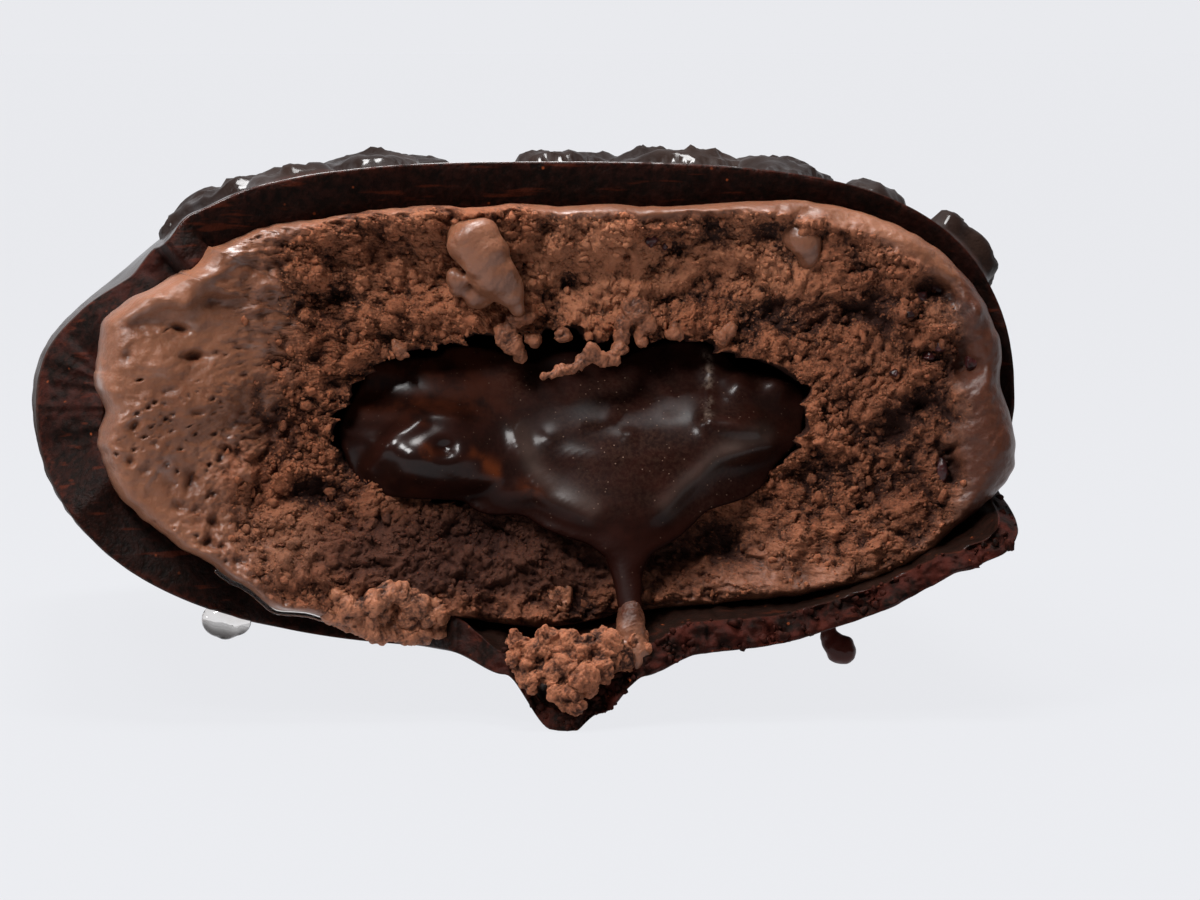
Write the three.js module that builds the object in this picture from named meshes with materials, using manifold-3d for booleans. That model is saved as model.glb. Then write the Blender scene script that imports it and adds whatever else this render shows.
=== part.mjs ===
// A chocolate-coated ice cream bar with one end bitten off, lying on its broad side.
// Millimetres. X is the bar's width, Y runs from the bite to the back end, Z is up.
// Four pieces: the broken chocolate shell, the ice cream inside it, the soft fudge core
// that runs through the ice cream and drips out, and a crumb that fell on a shell flake.
// Every shape is given on the level bar. At the end the bar is tipped back a little, because
// it lies on the tip of the flake that hangs down at the bite and on its back end.

import * as THREE from 'three';
import { mergeVertices } from 'three/addons/utils/BufferGeometryUtils.js';
import Module from 'manifold-3d';

const wasm = await Module();
wasm.setup();

// ---- Driving dimensions ----------------------------------------------------------------

const BACK_END = 67;            // from the bite's plane to the back end
const HALF_WIDTH = 24.4;        // outside of the shell
const HALF_HEIGHT = 12.1;
const CENTRE_X = 0.4;           // middle of the cross-section
const CENTRE_Z = 15.8;          // its underside is then 3.7 above the tip of the bent flake
const BACK_CORNER_RADIUS = 12;  // rounding of the back end, seen from above
const BACK_EDGE_RADIUS = 7;     // the same, seen from the side
const PIECE_GAP = 0.35;         // clearance between neighbouring pieces

// What the bar lies on: a line seen from the side, at the flake's tip and at the back end.
const FRONT_REST = { y: -4.6, z: 0.1 };
const BACK_REST = { y: 61.5, z: 3.85 };
const TIP_BACK = Math.atan2(BACK_REST.z - FRONT_REST.z, BACK_REST.y - FRONT_REST.y);

// Values that change round the cross-section are given at angles in degrees, seen from
// the bite: 0 is the right side, 90 the top, 180 the left side and 270 the underside.
const CORNER_SQUARENESS = [
  [0, 2.6], [35, 3.1], [90, 2.7], [140, 2.5], [150, 2.3], [156, 2.0], [162, 1.76], [168, 1.9],
  [175, 2.15], [186, 2.25], [205, 2.35], [330, 2.5],
];
const SHELL_THICKNESS = [
  [0, 0.8], [30, 1.3], [60, 2.3], [145, 2.3], [157, 1.9], [163, 1.0], [166, 1.1], [172, 2.8],
  [180, 3.4], [187, 3.0], [195, 2.6], [208, 2.6], [214, 2.1], [221, 1.3], [240, 1.5], [250, 1.8],
  [275, 1.4], [300, 2.0], [345, 1.2],
];
// How far behind the bite's plane the shell's broken edge lies; negative is in front of it.
const SHELL_BROKEN_EDGE = [
  [0, 2.2], [12, 2.0], [24, 1.7], [60, 1.3], [110, 1.6], [138, 0.7], [155, 0.8],
  [157.5, 6.0], [172, 6.6], [184, 5.6], [194, 1.7], [208, 0.8], [215, 1.4], [222, 3.6], [244, 3.8],
  [252, -1.0], [262, -2.8], [274, -5.4], [284, -4.6], [300, -2.9], [322, -2.2], [345, -2.5],
  [350, 5.0], [353, 7.0], [357, 2.8],
];
// How far the broken edge is bent away from the bar, and over which length.
const SHELL_FLARE = [
  [0, 0], [250, 0], [262, 1.0], [272, 3.6], [276, 3.75], [283, 2.9], [293, 1.2], [304, 0.4],
  [318, 0.5], [327, 0.35], [338, 0.3], [341, 0.8], [344, 1.2], [347, 1.1], [351, 0],
];
const FLARE_LENGTH = 8.5;
const LUMP_HEIGHT = 0.6;        // of a coated lump on top, as a share of its radius
// How far the broken face runs back from the outside to the inside of the shell.
const FRACTURE_SLOPE = [[0, 0.5], [150, 0.5], [158, -1.2], [170, -2.0], [184, -2.2], [196, 0.5]];

const RIM_DEPTH = 1.7;          // where the ice cream's side turns into the bitten face
const RIM_ROUND = 1.0;          // radius of its melted rim
const BITE_DEPTH = 3.0;         // hollow of the bite round the core
const CRAG_HEIGHT = 1.5;        // roughness where the ice cream crumbled
const SMOOTH_HEIGHT = 0.3;      // roughness where it melted

const CORE_X = 2.6;             // the tunnel that holds the fudge
const CORE_Z = 15.1;
const CORE_HALF_WIDTH = 11.8;
const CORE_HALF_HEIGHT = 4.3;
const CORE_BACK = 57;           // where the fudge ends inside the bar
const VOID_DEPTH = 15;          // the fudge has sunk away from the tunnel's roof this far in
const POOL_THICKNESS = 0.8;     // of the fudge's front at its edge
const NECK_LENGTH = 2.4;        // from that edge back to the full tunnel

const POOL_X = 4.0;             // middle of the fudge's front
const POOL_Z = 14.5;
// Reach of the fudge's front from that middle, by angle.
const POOL_REACH = [
  [0, 10.1], [9, 10.5], [26, 7.5], [78, 3.7], [131, 4.6], [153, 8.7], [165, 12.0], [181, 13.0],
  [190, 12.6], [208, 7.6], [229, 5.7], [257, 5.6], [273, 6.3], [281, 7.0], [293, 6.4], [319, 6.4],
  [345, 8.6],
];

const COLUMNS = 72;             // points round each section of the shell and the ice cream
const CORE_COLUMNS = 60;        // and of the fudge
const TAU = Math.PI * 2;

// ---- Small helpers ---------------------------------------------------------------------

const clamp = (value, low = 0, high = 1) => Math.min(high, Math.max(low, value));
const mix = (a, b, t) => a + (b - a) * t;
const degrees = (angle) => THREE.MathUtils.euclideanModulo(THREE.MathUtils.radToDeg(angle), 360);

function smooth(low, high, value) {
  const t = clamp((value - low) / (high - low));
  return t * t * (3 - 2 * t);
}

// Smooth value at an angle, from a table of [degrees, value] that closes on itself.
function around(table, angle) {
  const at = degrees(angle);
  let next = table.findIndex(([d]) => d > at);
  if (next < 0) next = 0;
  const before = table[(next + table.length - 1) % table.length];
  const after = table[next];
  const span = THREE.MathUtils.euclideanModulo(after[0] - before[0], 360);
  const along = THREE.MathUtils.euclideanModulo(at - before[0], 360);
  return mix(before[1], after[1], smooth(0, span, along));
}

// A hump of height 1 at the middle of an oval of the given half sizes.
function hump(x, z, middleX, middleZ, halfX, halfZ) {
  return Math.exp(-(((x - middleX) / halfX) ** 2) - ((z - middleZ) / halfZ) ** 2);
}

// Repeatable number from 0 to 1 for a lattice point.
function lattice(i, j, k, seed) {
  let h = Math.imul(i, 374761393) ^ Math.imul(j, 668265263);
  h ^= Math.imul(k, 2246822519) ^ Math.imul(seed, 1274126177);
  h = Math.imul(h ^ (h >>> 13), 1103515245);
  h = Math.imul(h ^ (h >>> 16), 2654435769);
  return ((h ^ (h >>> 15)) >>> 0) / 4294967296;
}

// Smooth noise from -1 to 1.
function noise(x, y, z, seed) {
  const [i, j, k] = [Math.floor(x), Math.floor(y), Math.floor(z)];
  const [u, v, w] = [smooth(0, 1, x - i), smooth(0, 1, y - j), smooth(0, 1, z - k)];
  const row = (b, c) => mix(lattice(i, j + b, k + c, seed), lattice(i + 1, j + b, k + c, seed), u);
  return mix(mix(row(0, 0), row(1, 0), v), mix(row(0, 1), row(1, 1), v), w) * 2 - 1;
}

// Round crumbs packed side by side: 1 on top of a crumb, 0 in the clefts between them.
function crumbs(x, z, size, seed) {
  const [i, j] = [Math.floor(x / size), Math.floor(z / size)];
  let nearest = 1;
  for (let a = i - 1; a <= i + 1; a += 1) {
    for (let b = j - 1; b <= j + 1; b += 1) {
      const crumbX = (a + lattice(a, b, 0, seed)) * size;
      const crumbZ = (b + lattice(a, b, 1, seed)) * size;
      nearest = Math.min(nearest, Math.hypot(x - crumbX, z - crumbZ) / size);
    }
  }
  return Math.sqrt(1 - nearest ** 2);
}

// ---- Meshes and solids -----------------------------------------------------------------

// Closed surface through rings of equal length, from a first pole to a last pole.
function ringSurface(firstPole, rings, lastPole) {
  const count = rings[0].length;
  const position = [...firstPole, ...rings.flat(2), ...lastPole];
  const index = [];
  const vertex = (ring, column) => 1 + ring * count + (column % count);
  const last = 1 + rings.length * count;
  for (let c = 0; c < count; c += 1) {
    index.push(0, vertex(0, c + 1), vertex(0, c));
    for (let r = 0; r + 1 < rings.length; r += 1) {
      index.push(vertex(r, c), vertex(r, c + 1), vertex(r + 1, c));
      index.push(vertex(r, c + 1), vertex(r + 1, c + 1), vertex(r + 1, c));
    }
    index.push(vertex(rings.length - 1, c), vertex(rings.length - 1, c + 1), last);
  }
  const geometry = new THREE.BufferGeometry();
  geometry.setAttribute('position', new THREE.Float32BufferAttribute(position, 3));
  geometry.setIndex(index);
  return geometry;
}

function solid(source) {
  let geometry = source.clone();
  geometry.deleteAttribute('normal');
  geometry.deleteAttribute('uv');
  geometry = mergeVertices(geometry, 1e-4);
  return new wasm.Manifold(new wasm.Mesh({
    numProp: 3,
    vertProperties: new Float32Array(geometry.attributes.position.array),
    triVerts: new Uint32Array(geometry.index.array),
  }));
}

// The largest body of a solid, without the scraps that a cut leaves.
function mainBody(source) {
  return source.decompose().reduce((a, b) => (b.volume() > a.volume() ? b : a));
}

function meshOf(name, source, material) {
  const result = mainBody(source).getMesh();
  const geometry = new THREE.BufferGeometry();
  geometry.setAttribute('position', new THREE.Float32BufferAttribute(result.vertProperties, 3));
  geometry.setIndex(new THREE.Uint32BufferAttribute(result.triVerts, 1));
  geometry.computeVertexNormals();
  const mesh = new THREE.Mesh(geometry, material);
  mesh.name = name;
  return mesh;
}

// The same body with its surface moved outward, to leave clearance round it.
function grown(source, distance) {
  const mesh = meshOf('', source);
  const { position, normal } = mesh.geometry.attributes;
  for (let i = 0; i < position.count; i += 1) {
    position.setXYZ(
      i,
      position.getX(i) + normal.getX(i) * distance,
      position.getY(i) + normal.getY(i) * distance,
      position.getZ(i) + normal.getZ(i) * distance,
    );
  }
  return solid(mesh.geometry);
}

// An uneven lump: a ball stretched to the given radii, turned, with a rough surface.
function lump(x, y, z, radii, seed, roughness = 0.22, detail = 1) {
  const ball = new THREE.IcosahedronGeometry(1, detail).deleteAttribute('uv').deleteAttribute('normal');
  const geometry = mergeVertices(ball);
  const position = geometry.attributes.position;
  const point = new THREE.Vector3();
  for (let i = 0; i < position.count; i += 1) {
    point.fromBufferAttribute(position, i);
    point.multiplyScalar(1 + roughness * noise(point.x * 1.7, point.y * 1.7, point.z * 1.7, seed));
    position.setXYZ(i, point.x * radii[0], point.y * radii[1], point.z * radii[2]);
  }
  geometry.rotateZ(lattice(seed, 3, 5, 9) * TAU);
  geometry.translate(x, y, z);
  return solid(geometry);
}

// Knobs [x, y, z, radius] grown into one body; shape is the share of the radius along each axis.
function knobs(places, shape, seed, roughness) {
  const lumps = places.map(([x, y, z, radius], i) => (
    lump(x, y, z, shape.map((share) => share * radius), seed + i, roughness)
  ));
  return lumps.reduce((body, piece) => body.add(piece));
}

// ---- The bar's outside -----------------------------------------------------------------

// Directions of a section's points, spread so that they are about evenly spaced on a flat oval.
function spread(count) {
  return Array.from({ length: count }, (_, c) => {
    const turn = (c / count) * TAU;
    return Math.atan2(Math.sin(turn), 1.45 * Math.cos(turn));
  });
}

const directions = spread(COLUMNS);
const coreDirections = spread(CORE_COLUMNS);

// How far a rounded edge of the back end has drawn in at a given depth.
function drawnIn(y, radius) {
  const t = clamp((y - (BACK_END - radius)) / radius);
  return radius * (1 - (1 - t ** 2.3) ** (1 / 2.3));
}

function outlinePoint(angle, y) {
  const halfWidth = HALF_WIDTH - drawnIn(y, BACK_CORNER_RADIUS);
  const halfHeight = HALF_HEIGHT - drawnIn(y, BACK_EDGE_RADIUS);
  const power = around(CORNER_SQUARENESS, angle);
  const reach = (Math.abs(Math.cos(angle) / halfWidth) ** power
    + Math.abs(Math.sin(angle) / halfHeight) ** power) ** (-1 / power);
  return new THREE.Vector3(CENTRE_X + reach * Math.cos(angle), y, CENTRE_Z + reach * Math.sin(angle));
}

// Point that lies a given depth under the bar's outside.
function skinPoint(angle, y, depth) {
  const step = 0.02;
  const here = outlinePoint(angle, y);
  const across = outlinePoint(angle + step, y).sub(outlinePoint(angle - step, y));
  const along = outlinePoint(angle, Math.min(y + step, BACK_END)).sub(outlinePoint(angle, y - step));
  const outward = along.cross(across).normalize();
  return here.addScaledVector(outward, -depth);
}

// Depths of the rings between a front edge and the back end, closer together in the rounding.
function ringDepths(front, straightRings, roundRings) {
  const roundStart = BACK_END - BACK_CORNER_RADIUS;
  const depths = [];
  for (let r = 0; r < straightRings; r += 1) {
    depths.push(mix(front, roundStart, (r / straightRings) ** 1.6));
  }
  for (let r = 0; r <= roundRings; r += 1) {
    depths.push(roundStart + BACK_CORNER_RADIUS * Math.sin((r / roundRings) * (Math.PI / 2)) * 0.999);
  }
  return depths;
}

// Rings of the bar's outside at a given depth under it, from a front edge to the back end.
function skinRings(frontAt, depthAt, straightRings, roundRings, shift = () => 0) {
  const perColumn = directions.map((angle) => {
    const front = frontAt(angle);
    return ringDepths(front, straightRings, roundRings).map((y) => {
      const point = skinPoint(angle, y, depthAt(angle));
      const outward = skinPoint(angle, y, depthAt(angle) - 1).sub(point);
      return point.addScaledVector(outward, shift(angle, y - front)).toArray();
    });
  });
  return perColumn[0].map((_, r) => perColumn.map((column) => column[r]));
}

// ---- Chocolate shell -------------------------------------------------------------------

const bentOut = (angle, behindEdge) => (
  around(SHELL_FLARE, angle) * (1 - smooth(0, FLARE_LENGTH, behindEdge)) ** 1.3
);

// Small zigzag of the broken edge.
const splinter = (angle) => 0.35 * noise(degrees(angle) / 4, 0, 0, 11);

function shellBody() {
  const edge = (angle) => around(SHELL_BROKEN_EDGE, angle) + splinter(angle);
  const thickness = (angle) => around(SHELL_THICKNESS, angle);
  const outside = skinRings(edge, () => 0, 7, 3, bentOut);
  const runBack = (angle) => around(FRACTURE_SLOPE, angle);
  const middleEdge = (angle) => edge(angle) - 0.2 + 0.3 * runBack(angle);
  const middle = skinRings(middleEdge, (angle) => thickness(angle) * 0.45, 1, 1, bentOut)[0];
  const inside = skinRings((angle) => edge(angle) + runBack(angle), thickness, 4, 3, bentOut);
  const backOutside = [CENTRE_X, BACK_END, CENTRE_Z];
  const backInside = [CENTRE_X, BACK_END - around(SHELL_THICKNESS, Math.PI / 2), CENTRE_Z];
  return solid(ringSurface(backOutside, [...outside.reverse(), middle, ...inside], backInside));
}

// Lumps of coated nut and fruit that stand out of the shell: [x, y, radius], top side.
const LUMPS_ON_TOP = [
  [-11.2, 1.6, 1.9], [-7.6, 5.5, 2.5], [-5.0, 10.5, 1.9], [3.4, 12.0, 2.3], [8.6, 9.0, 2.6],
  [13.6, 7.6, 2.4], [11.0, 15.5, 2.6], [-14.8, 9.5, 2.3],
];

// Lumps on the shell's shoulders and sides: [degrees round the section, y, radius].
const LUMPS_ON_SHOULDERS = [
  [30, 6.5, 1.5], [19, 4.0, 2.1], [38, 20.0, 1.7], [140, 27.0, 1.5], [12, 34.0, 1.5], [205, 47.0, 1.4],
];

const FIELD_SEED = 23;
const FIELD_ROWS = 6;           // rows of two lumps on the back half of the top
const FIELD_FRONT = 22;
const FIELD_SPACING = 6.7;

function shellLumps() {
  const lumps = [];
  const topAt = (x) => {
    const angle = directions.reduce((best, a) => {
      const off = (turn) => (Math.sin(turn) > 0 ? Math.abs(outlinePoint(turn, 0).x - x) : Infinity);
      return off(a) < off(best) ? a : best;
    });
    return outlinePoint(angle, 0).z;
  };
  const addTop = (x, y, radius, seed) => {
    const long = mix(1, 1.5, lattice(seed, 1, 1, FIELD_SEED));
    const radii = [radius * long, radius * 0.85, radius * LUMP_HEIGHT];
    lumps.push(lump(x, y, topAt(x) - 0.05 * radius, radii, seed, 0.4));
  };
  LUMPS_ON_TOP.forEach(([x, y, radius], i) => addTop(x, y, radius, 40 + i));
  for (let row = 0; row < FIELD_ROWS; row += 1) {
    for (const side of [-1, 1]) {
      const x = side * mix(1.5, 15, lattice(row, side, 1, FIELD_SEED));
      const y = FIELD_FRONT + row * FIELD_SPACING + mix(-2.5, 2.5, lattice(row, side, 2, FIELD_SEED));
      addTop(x, y, mix(1.3, 2.5, lattice(row, side, 3, FIELD_SEED)), 60 + row * 2 + side);
    }
  }
  LUMPS_ON_SHOULDERS.forEach(([angle, y, radius], i) => {
    const point = skinPoint(THREE.MathUtils.degToRad(angle), y, 0.1 * radius);
    lumps.push(lump(point.x, point.y, point.z, [radius, radius, radius * 0.9], 80 + i));
  });
  return lumps;
}

// A drop of chocolate that set while it hung from the underside: neck and bulb.
const DROP = { x: 16.0, y: 3.6, bulbZ: 3.35, neckZ: 4.9 };
const DROP_NECK = [0.45, 0.45, 1.7];
const DROP_BULB = [0.95, 0.85, 0.85];

function hangingDrop() {
  const neck = lump(DROP.x - 0.35, DROP.y, DROP.neckZ, DROP_NECK, 97, 0.1);
  const bulb = lump(DROP.x, DROP.y, DROP.bulbZ, DROP_BULB, 98, 0.15);
  return neck.add(bulb);
}

// Everything below what the bar lies on, to cut small flat spots at its two resting points.
function belowGround() {
  const depth = 10;
  const block = new THREE.BoxGeometry(200, 200, depth).translate(0, 0, -depth / 2);
  return solid(block.rotateX(TIP_BACK).translate(0, FRONT_REST.y, FRONT_REST.z));
}

// The space that the shell surrounds, a little into its wall, to trim what is fused to it.
function innerSpace() {
  const depth = (angle) => around(SHELL_THICKNESS, angle) * 0.8;
  const rings = skinRings(() => -1, depth, 3, 3);
  return solid(ringSurface([CENTRE_X, BACK_END - 2, CENTRE_Z], rings.reverse(), [CENTRE_X, -1, CENTRE_Z]));
}

function chocolateShell() {
  const fused = [...shellLumps(), hangingDrop()].reduce((body, piece) => body.add(piece));
  return shellBody().add(fused.subtract(innerSpace())).subtract(belowGround());
}

// ---- Fudge core ------------------------------------------------------------------------

// Depth of the fudge's front: deep under the tunnel's roof, bulging out over its lower lip.
function poolDepth(x, z) {
  const sunk = 2.2 * smooth(13, 20, z);
  const leftLobe = 1.5 * hump(x, z, -5.2, 13.2, 3.4, 2.0);
  const mainLobe = 2.0 * hump(x, z, 5.2, 12.6, 5.0, 3.0);
  const rightLobe = 0.9 * hump(x, z, 10.2, 14.6, 2.4, 2.0);
  const funnel = 2.9 * (1 - smooth(7.5, 13.0, z));
  return 1.6 + sunk - leftLobe - mainLobe - rightLobe - funnel;
}

function coreRing(y, scale) {
  return coreDirections.map((angle) => {
    const power = 2.4;
    const reach = (Math.abs(Math.cos(angle) / (CORE_HALF_WIDTH * scale)) ** power
      + Math.abs(Math.sin(angle) / (CORE_HALF_HEIGHT * scale)) ** power) ** (-1 / power);
    return [CORE_X + reach * Math.cos(angle), y, CORE_Z + reach * Math.sin(angle)];
  });
}

// Rings of the pool's front, from its edge to its middle.
function poolRings() {
  const shares = [1, 0.94, 0.8, 0.6, 0.38, 0.18];
  return shares.map((share) => coreDirections.map((angle) => {
    const reach = around(POOL_REACH, angle) * share;
    const [x, z] = [POOL_X + reach * Math.cos(angle), POOL_Z + reach * Math.sin(angle)];
    const heldUp = (1 - 0.8 * smooth(15.5, 18, z)) * (1 - 0.7 * smooth(7, 10, x));
    const rolledBack = 1.3 * smooth(0.55, 1, share) ** 2 * smooth(7.5, 11.5, z) * heldUp;
    return [x, poolDepth(x, z) + rolledBack, z];
  }));
}

// Behind its edge the pool draws in to the width of the tunnel.
function neckRings() {
  const edge = poolRings()[0];
  const thick = edge.map(([x, y, z]) => [x, y + POOL_THICKNESS, z]);
  const drawnInside = coreRing(0, 0.96).map(([x, , z], c) => [x, edge[c][1] + NECK_LENGTH, z]);
  return [thick, drawnInside];
}

// A thread of fudge that runs out of the funnel: [x, y, z, radius] from top to bottom.
const THREAD = [
  [4.85, 0.2, 10.2, 1.5], [4.85, -0.15, 9.3, 1.25], [4.9, -0.75, 8.4, 0.95], [4.95, -1.45, 7.3, 0.72],
  [4.95, -2.1, 6.3, 0.58], [4.95, -2.6, 5.6, 0.52], [4.9, -3.0, 5.0, 0.5],
];

function thread() {
  const sides = 12;
  const rings = THREAD.map(([x, y, z, radius]) => Array.from({ length: sides }, (_, s) => {
    const turn = (s / sides) * TAU;
    return [x + radius * Math.cos(turn), y - radius * Math.sin(turn) * 0.85, z];
  }));
  const [top, bottom] = [THREAD[0], THREAD[THREAD.length - 1]];
  return solid(ringSurface([top[0], top[1], top[2] + 0.4], rings, [bottom[0], bottom[1], bottom[2] - 0.3]));
}

function fudgeBody() {
  const tube = [
    ...neckRings(), coreRing(VOID_DEPTH, 1), coreRing(CORE_BACK - 3, 1), coreRing(CORE_BACK - 0.8, 0.82),
  ];
  const pole = [POOL_X, poolDepth(POOL_X, POOL_Z), POOL_Z];
  const body = solid(ringSurface([CORE_X, CORE_BACK, CORE_Z], [...tube.reverse(), ...poolRings()], pole));
  return body.add(thread());
}

// The mouth of the tunnel, empty above the fudge.
function tunnelMouth() {
  const uneven = (ring, swing) => ring.map(([x, y, z], c) => {
    const share = 1 + swing * noise(c / 5, y, 0, 31);
    return [CORE_X + (x - CORE_X) * share, y, CORE_Z + (z - CORE_Z) * share];
  });
  const rings = [
    coreRing(VOID_DEPTH + 1, 0.94), uneven(coreRing(6.5, 1.02), 0.03), uneven(coreRing(2.5, 1), 0.07),
    coreRing(-8, 1),
  ];
  return solid(ringSurface([CORE_X, VOID_DEPTH + 1.2, CORE_Z], rings, [CORE_X, -8.2, CORE_Z]));
}

// ---- Ice cream -------------------------------------------------------------------------

// 1 where the ice cream melted smooth, 0 where it broke into crumbs.
function melted(x, z, share) {
  const leftSide = 1 - smooth(-15.5, -9.5, x + 0.25 * (z - CENTRE_Z));
  const rim = smooth(0.9, 0.96, share);
  const rightRim = smooth(19.5, 21.5, x);
  return Math.max(leftSide, rim, rightRim);
}

// Depth of the bitten face behind the bite's plane; share is 0 at its middle and 1 at its rim.
function faceDepth(x, z, share) {
  const dish = BITE_DEPTH * Math.max(0, 1 - share ** 2.4);
  const leftKnob = 1.6 * hump(x, z, -17, 16, 5, 7);
  const underRim = 0.9 * hump(x, z, -6, 22.3, 6, 1.8) + 0.8 * hump(x, z, 9, 22.4, 6, 1.6);
  const lowerLedge = 1.4 * hump(x, z, -7, 7.6, 7, 2.2);
  const drop = 2.1 * hump(x, z, -2.2, 23.2, 1.9, 2.0) + 1.3 * hump(x, z, -0.9, 21.2, 1.4, 1.3);
  const smallDrop = 1.2 * hump(x, z, 14.2, 24.2, 1.2, 1.3);
  const crags = CRAG_HEIGHT * (0.9 - crumbs(x, z, 2.3, 3)) + 0.5 * noise(x / 1.3, z / 1.3, 0, 5);
  const waves = SMOOTH_HEIGHT * noise(x / 2.2, z / 2.2, 0, 6);
  const rough = mix(crags, waves, melted(x, z, share));
  return dish - leftKnob + underRim - lowerLedge - drop - smallDrop + rough;
}

const FACE_SHARES = [0.985, 0.96, 0.92, 0.87, 0.82, 0.77, 0.72, 0.67, 0.62, 0.57, 0.51, 0.44, 0.35];

function iceCreamBody() {
  const inset = (angle) => around(SHELL_THICKNESS, angle) + PIECE_GAP;
  const sides = skinRings(() => RIM_DEPTH, inset, 3, 3);
  const rim = sides[0];
  const face = FACE_SHARES.map((share) => rim.map(([rimX, , rimZ]) => {
    const [x, z] = [mix(CORE_X, rimX, share), mix(CORE_Z, rimZ, share)];
    const fromEdge = clamp((share - 0.93) / 0.07);
    const turned = RIM_ROUND * Math.sqrt(1 - fromEdge ** 2);
    return [x, mix(faceDepth(x, z, share), RIM_DEPTH, fromEdge ** 2) - turned * 0.5, z];
  }));
  const back = [CENTRE_X, BACK_END - around(SHELL_THICKNESS, Math.PI / 2) - PIECE_GAP, CENTRE_Z];
  return solid(ringSurface(back, [...sides.reverse(), ...face], [CORE_X, BITE_DEPTH + 1, CORE_Z]));
}

// The ragged lip that sags over the shell's edge below the bite: [x, y, z, radius].
const LIP = [
  [-10.0, 0.5, 6.6, 1.1], [-8.7, 0.1, 5.8, 1.2], [-7.2, 0.0, 5.4, 1.3], [-5.6, 0.1, 5.4, 1.3],
  [-4.2, 0.4, 5.7, 1.1], [-8.0, -0.1, 6.4, 1.2], [-6.4, -0.1, 6.6, 1.3],
];

function iceCream() {
  const lip = knobs(LIP, [1, 0.8, 1], 110, 0.35).subtract(grown(shellBody(), PIECE_GAP));
  return iceCreamBody().add(lip).subtract(tunnelMouth()).subtract(grown(fudgeBody(), PIECE_GAP));
}

// ---- Crumb on the flake ----------------------------------------------------------------

// Clustered knobs of the fallen crumb: [x, y, z, radius]. The last ones are the stub that
// the fudge thread runs onto.
const CRUMB = [
  [-0.1, -3.9, 3.9, 1.25], [-0.3, -4.7, 2.7, 0.95], [1.2, -3.9, 3.7, 1.4], [2.6, -4.2, 3.3, 1.5],
  [3.3, -3.6, 4.0, 1.2], [1.1, -4.9, 2.6, 1.2], [2.7, -5.1, 2.3, 0.9], [4.1, -3.9, 3.7, 1.0],
  [1.9, -5.6, 1.4, 0.7], [5.0, -3.2, 3.9, 0.85],
];

function fallenCrumb() {
  const whole = knobs(CRUMB, [1, 1, 0.9], 130, 0.25);
  return whole.subtract(grown(shellBody(), PIECE_GAP)).subtract(grown(fudgeBody(), PIECE_GAP));
}

// ---- Assembly --------------------------------------------------------------------------

const paint = (color, roughness) => new THREE.MeshStandardMaterial({ color, roughness, metalness: 0 });

const group = new THREE.Group();
group.add(
  meshOf('chocolate_shell', chocolateShell(), paint(0x24160f, 0.35)),
  meshOf('ice_cream', iceCream(), paint(0x9a6a52, 0.8)),
  meshOf('fudge_core', fudgeBody(), paint(0x2e130d, 0.12)),
  meshOf('fallen_crumb', fallenCrumb(), paint(0xa0705a, 0.75)),
);

// The origin is under the middle of the whole bar, on the level it lies on.
group.rotation.x = -TIP_BACK;
const bounds = new THREE.Box3().setFromObject(group, true);
const middle = bounds.getCenter(new THREE.Vector3());
group.position.set(-middle.x, -middle.y, -bounds.min.z);

export default group;
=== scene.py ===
# %% [markdown]
# # A bitten ice cream bar
# A moulded bar of chocolate ice cream with a soft fudge core and a thick dark shell, one
# end bitten off. The solids of the construction come in first. Each of them is then
# replaced by a much finer mesh of the same form, because crumbs, drips and broken
# chocolate are too small for the faceted solids.

# %% Load the frame
import itertools

import bpy
import numpy as np
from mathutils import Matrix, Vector


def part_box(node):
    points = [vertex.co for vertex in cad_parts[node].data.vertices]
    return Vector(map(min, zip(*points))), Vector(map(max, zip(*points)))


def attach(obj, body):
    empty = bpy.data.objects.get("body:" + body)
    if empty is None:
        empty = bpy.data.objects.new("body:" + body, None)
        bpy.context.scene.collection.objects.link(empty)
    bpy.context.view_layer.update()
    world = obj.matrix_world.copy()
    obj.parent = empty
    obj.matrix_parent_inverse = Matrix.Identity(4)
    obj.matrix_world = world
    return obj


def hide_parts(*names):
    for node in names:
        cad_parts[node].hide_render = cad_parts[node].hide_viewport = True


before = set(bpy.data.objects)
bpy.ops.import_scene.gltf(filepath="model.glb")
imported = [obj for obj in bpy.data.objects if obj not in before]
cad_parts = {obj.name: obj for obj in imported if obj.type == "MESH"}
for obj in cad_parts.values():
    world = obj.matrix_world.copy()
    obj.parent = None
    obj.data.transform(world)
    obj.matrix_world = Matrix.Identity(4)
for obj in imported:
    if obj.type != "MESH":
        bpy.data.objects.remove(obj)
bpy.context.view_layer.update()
print("solids:", sorted(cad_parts))

# %% [markdown]
# ## One set of measures
# The bar is described level, in millimetres from the middle of its bite: X across, Y from
# the bite to the back end, Z up. It lies on the tip of a hanging flake and on its back
# end, so it is tipped back a little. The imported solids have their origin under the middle
# of the tipped bar, and one shift, read from the fudge core's box, carries every mesh to
# its place.

# %% Sizes and the place of the bar
MM = 0.001
BACK_END = 67.0  # from the bite's plane to the back end
HALF_WIDTH, HALF_HEIGHT = 24.4, 12.1  # outside of the shell
CENTRE_X, CENTRE_Z = 0.4, 15.8  # middle of the section
BACK_CORNER_RADIUS, BACK_EDGE_RADIUS = 12.0, 7.0
BACK_SQUARENESS = 2.3
BACK_WALL = 2.3  # the shell behind the ice cream
TOUCH = 0.02  # from the ice cream to the shell, which it lies against
CORE_X, CORE_Z = 2.6, 15.1  # the tunnel with the fudge
CORE_HALF_WIDTH, CORE_HALF_HEIGHT = 11.8, 4.3
CORE_BACK = 57.0
FRONT_REST = np.array([0.0, -4.6, 0.1])  # the flake's tip, level bar
BACK_REST = np.array([0.0, 61.5, 3.85])
TIP_BACK = np.arctan2(BACK_REST[2] - FRONT_REST[2], BACK_REST[1] - FRONT_REST[1])


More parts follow.
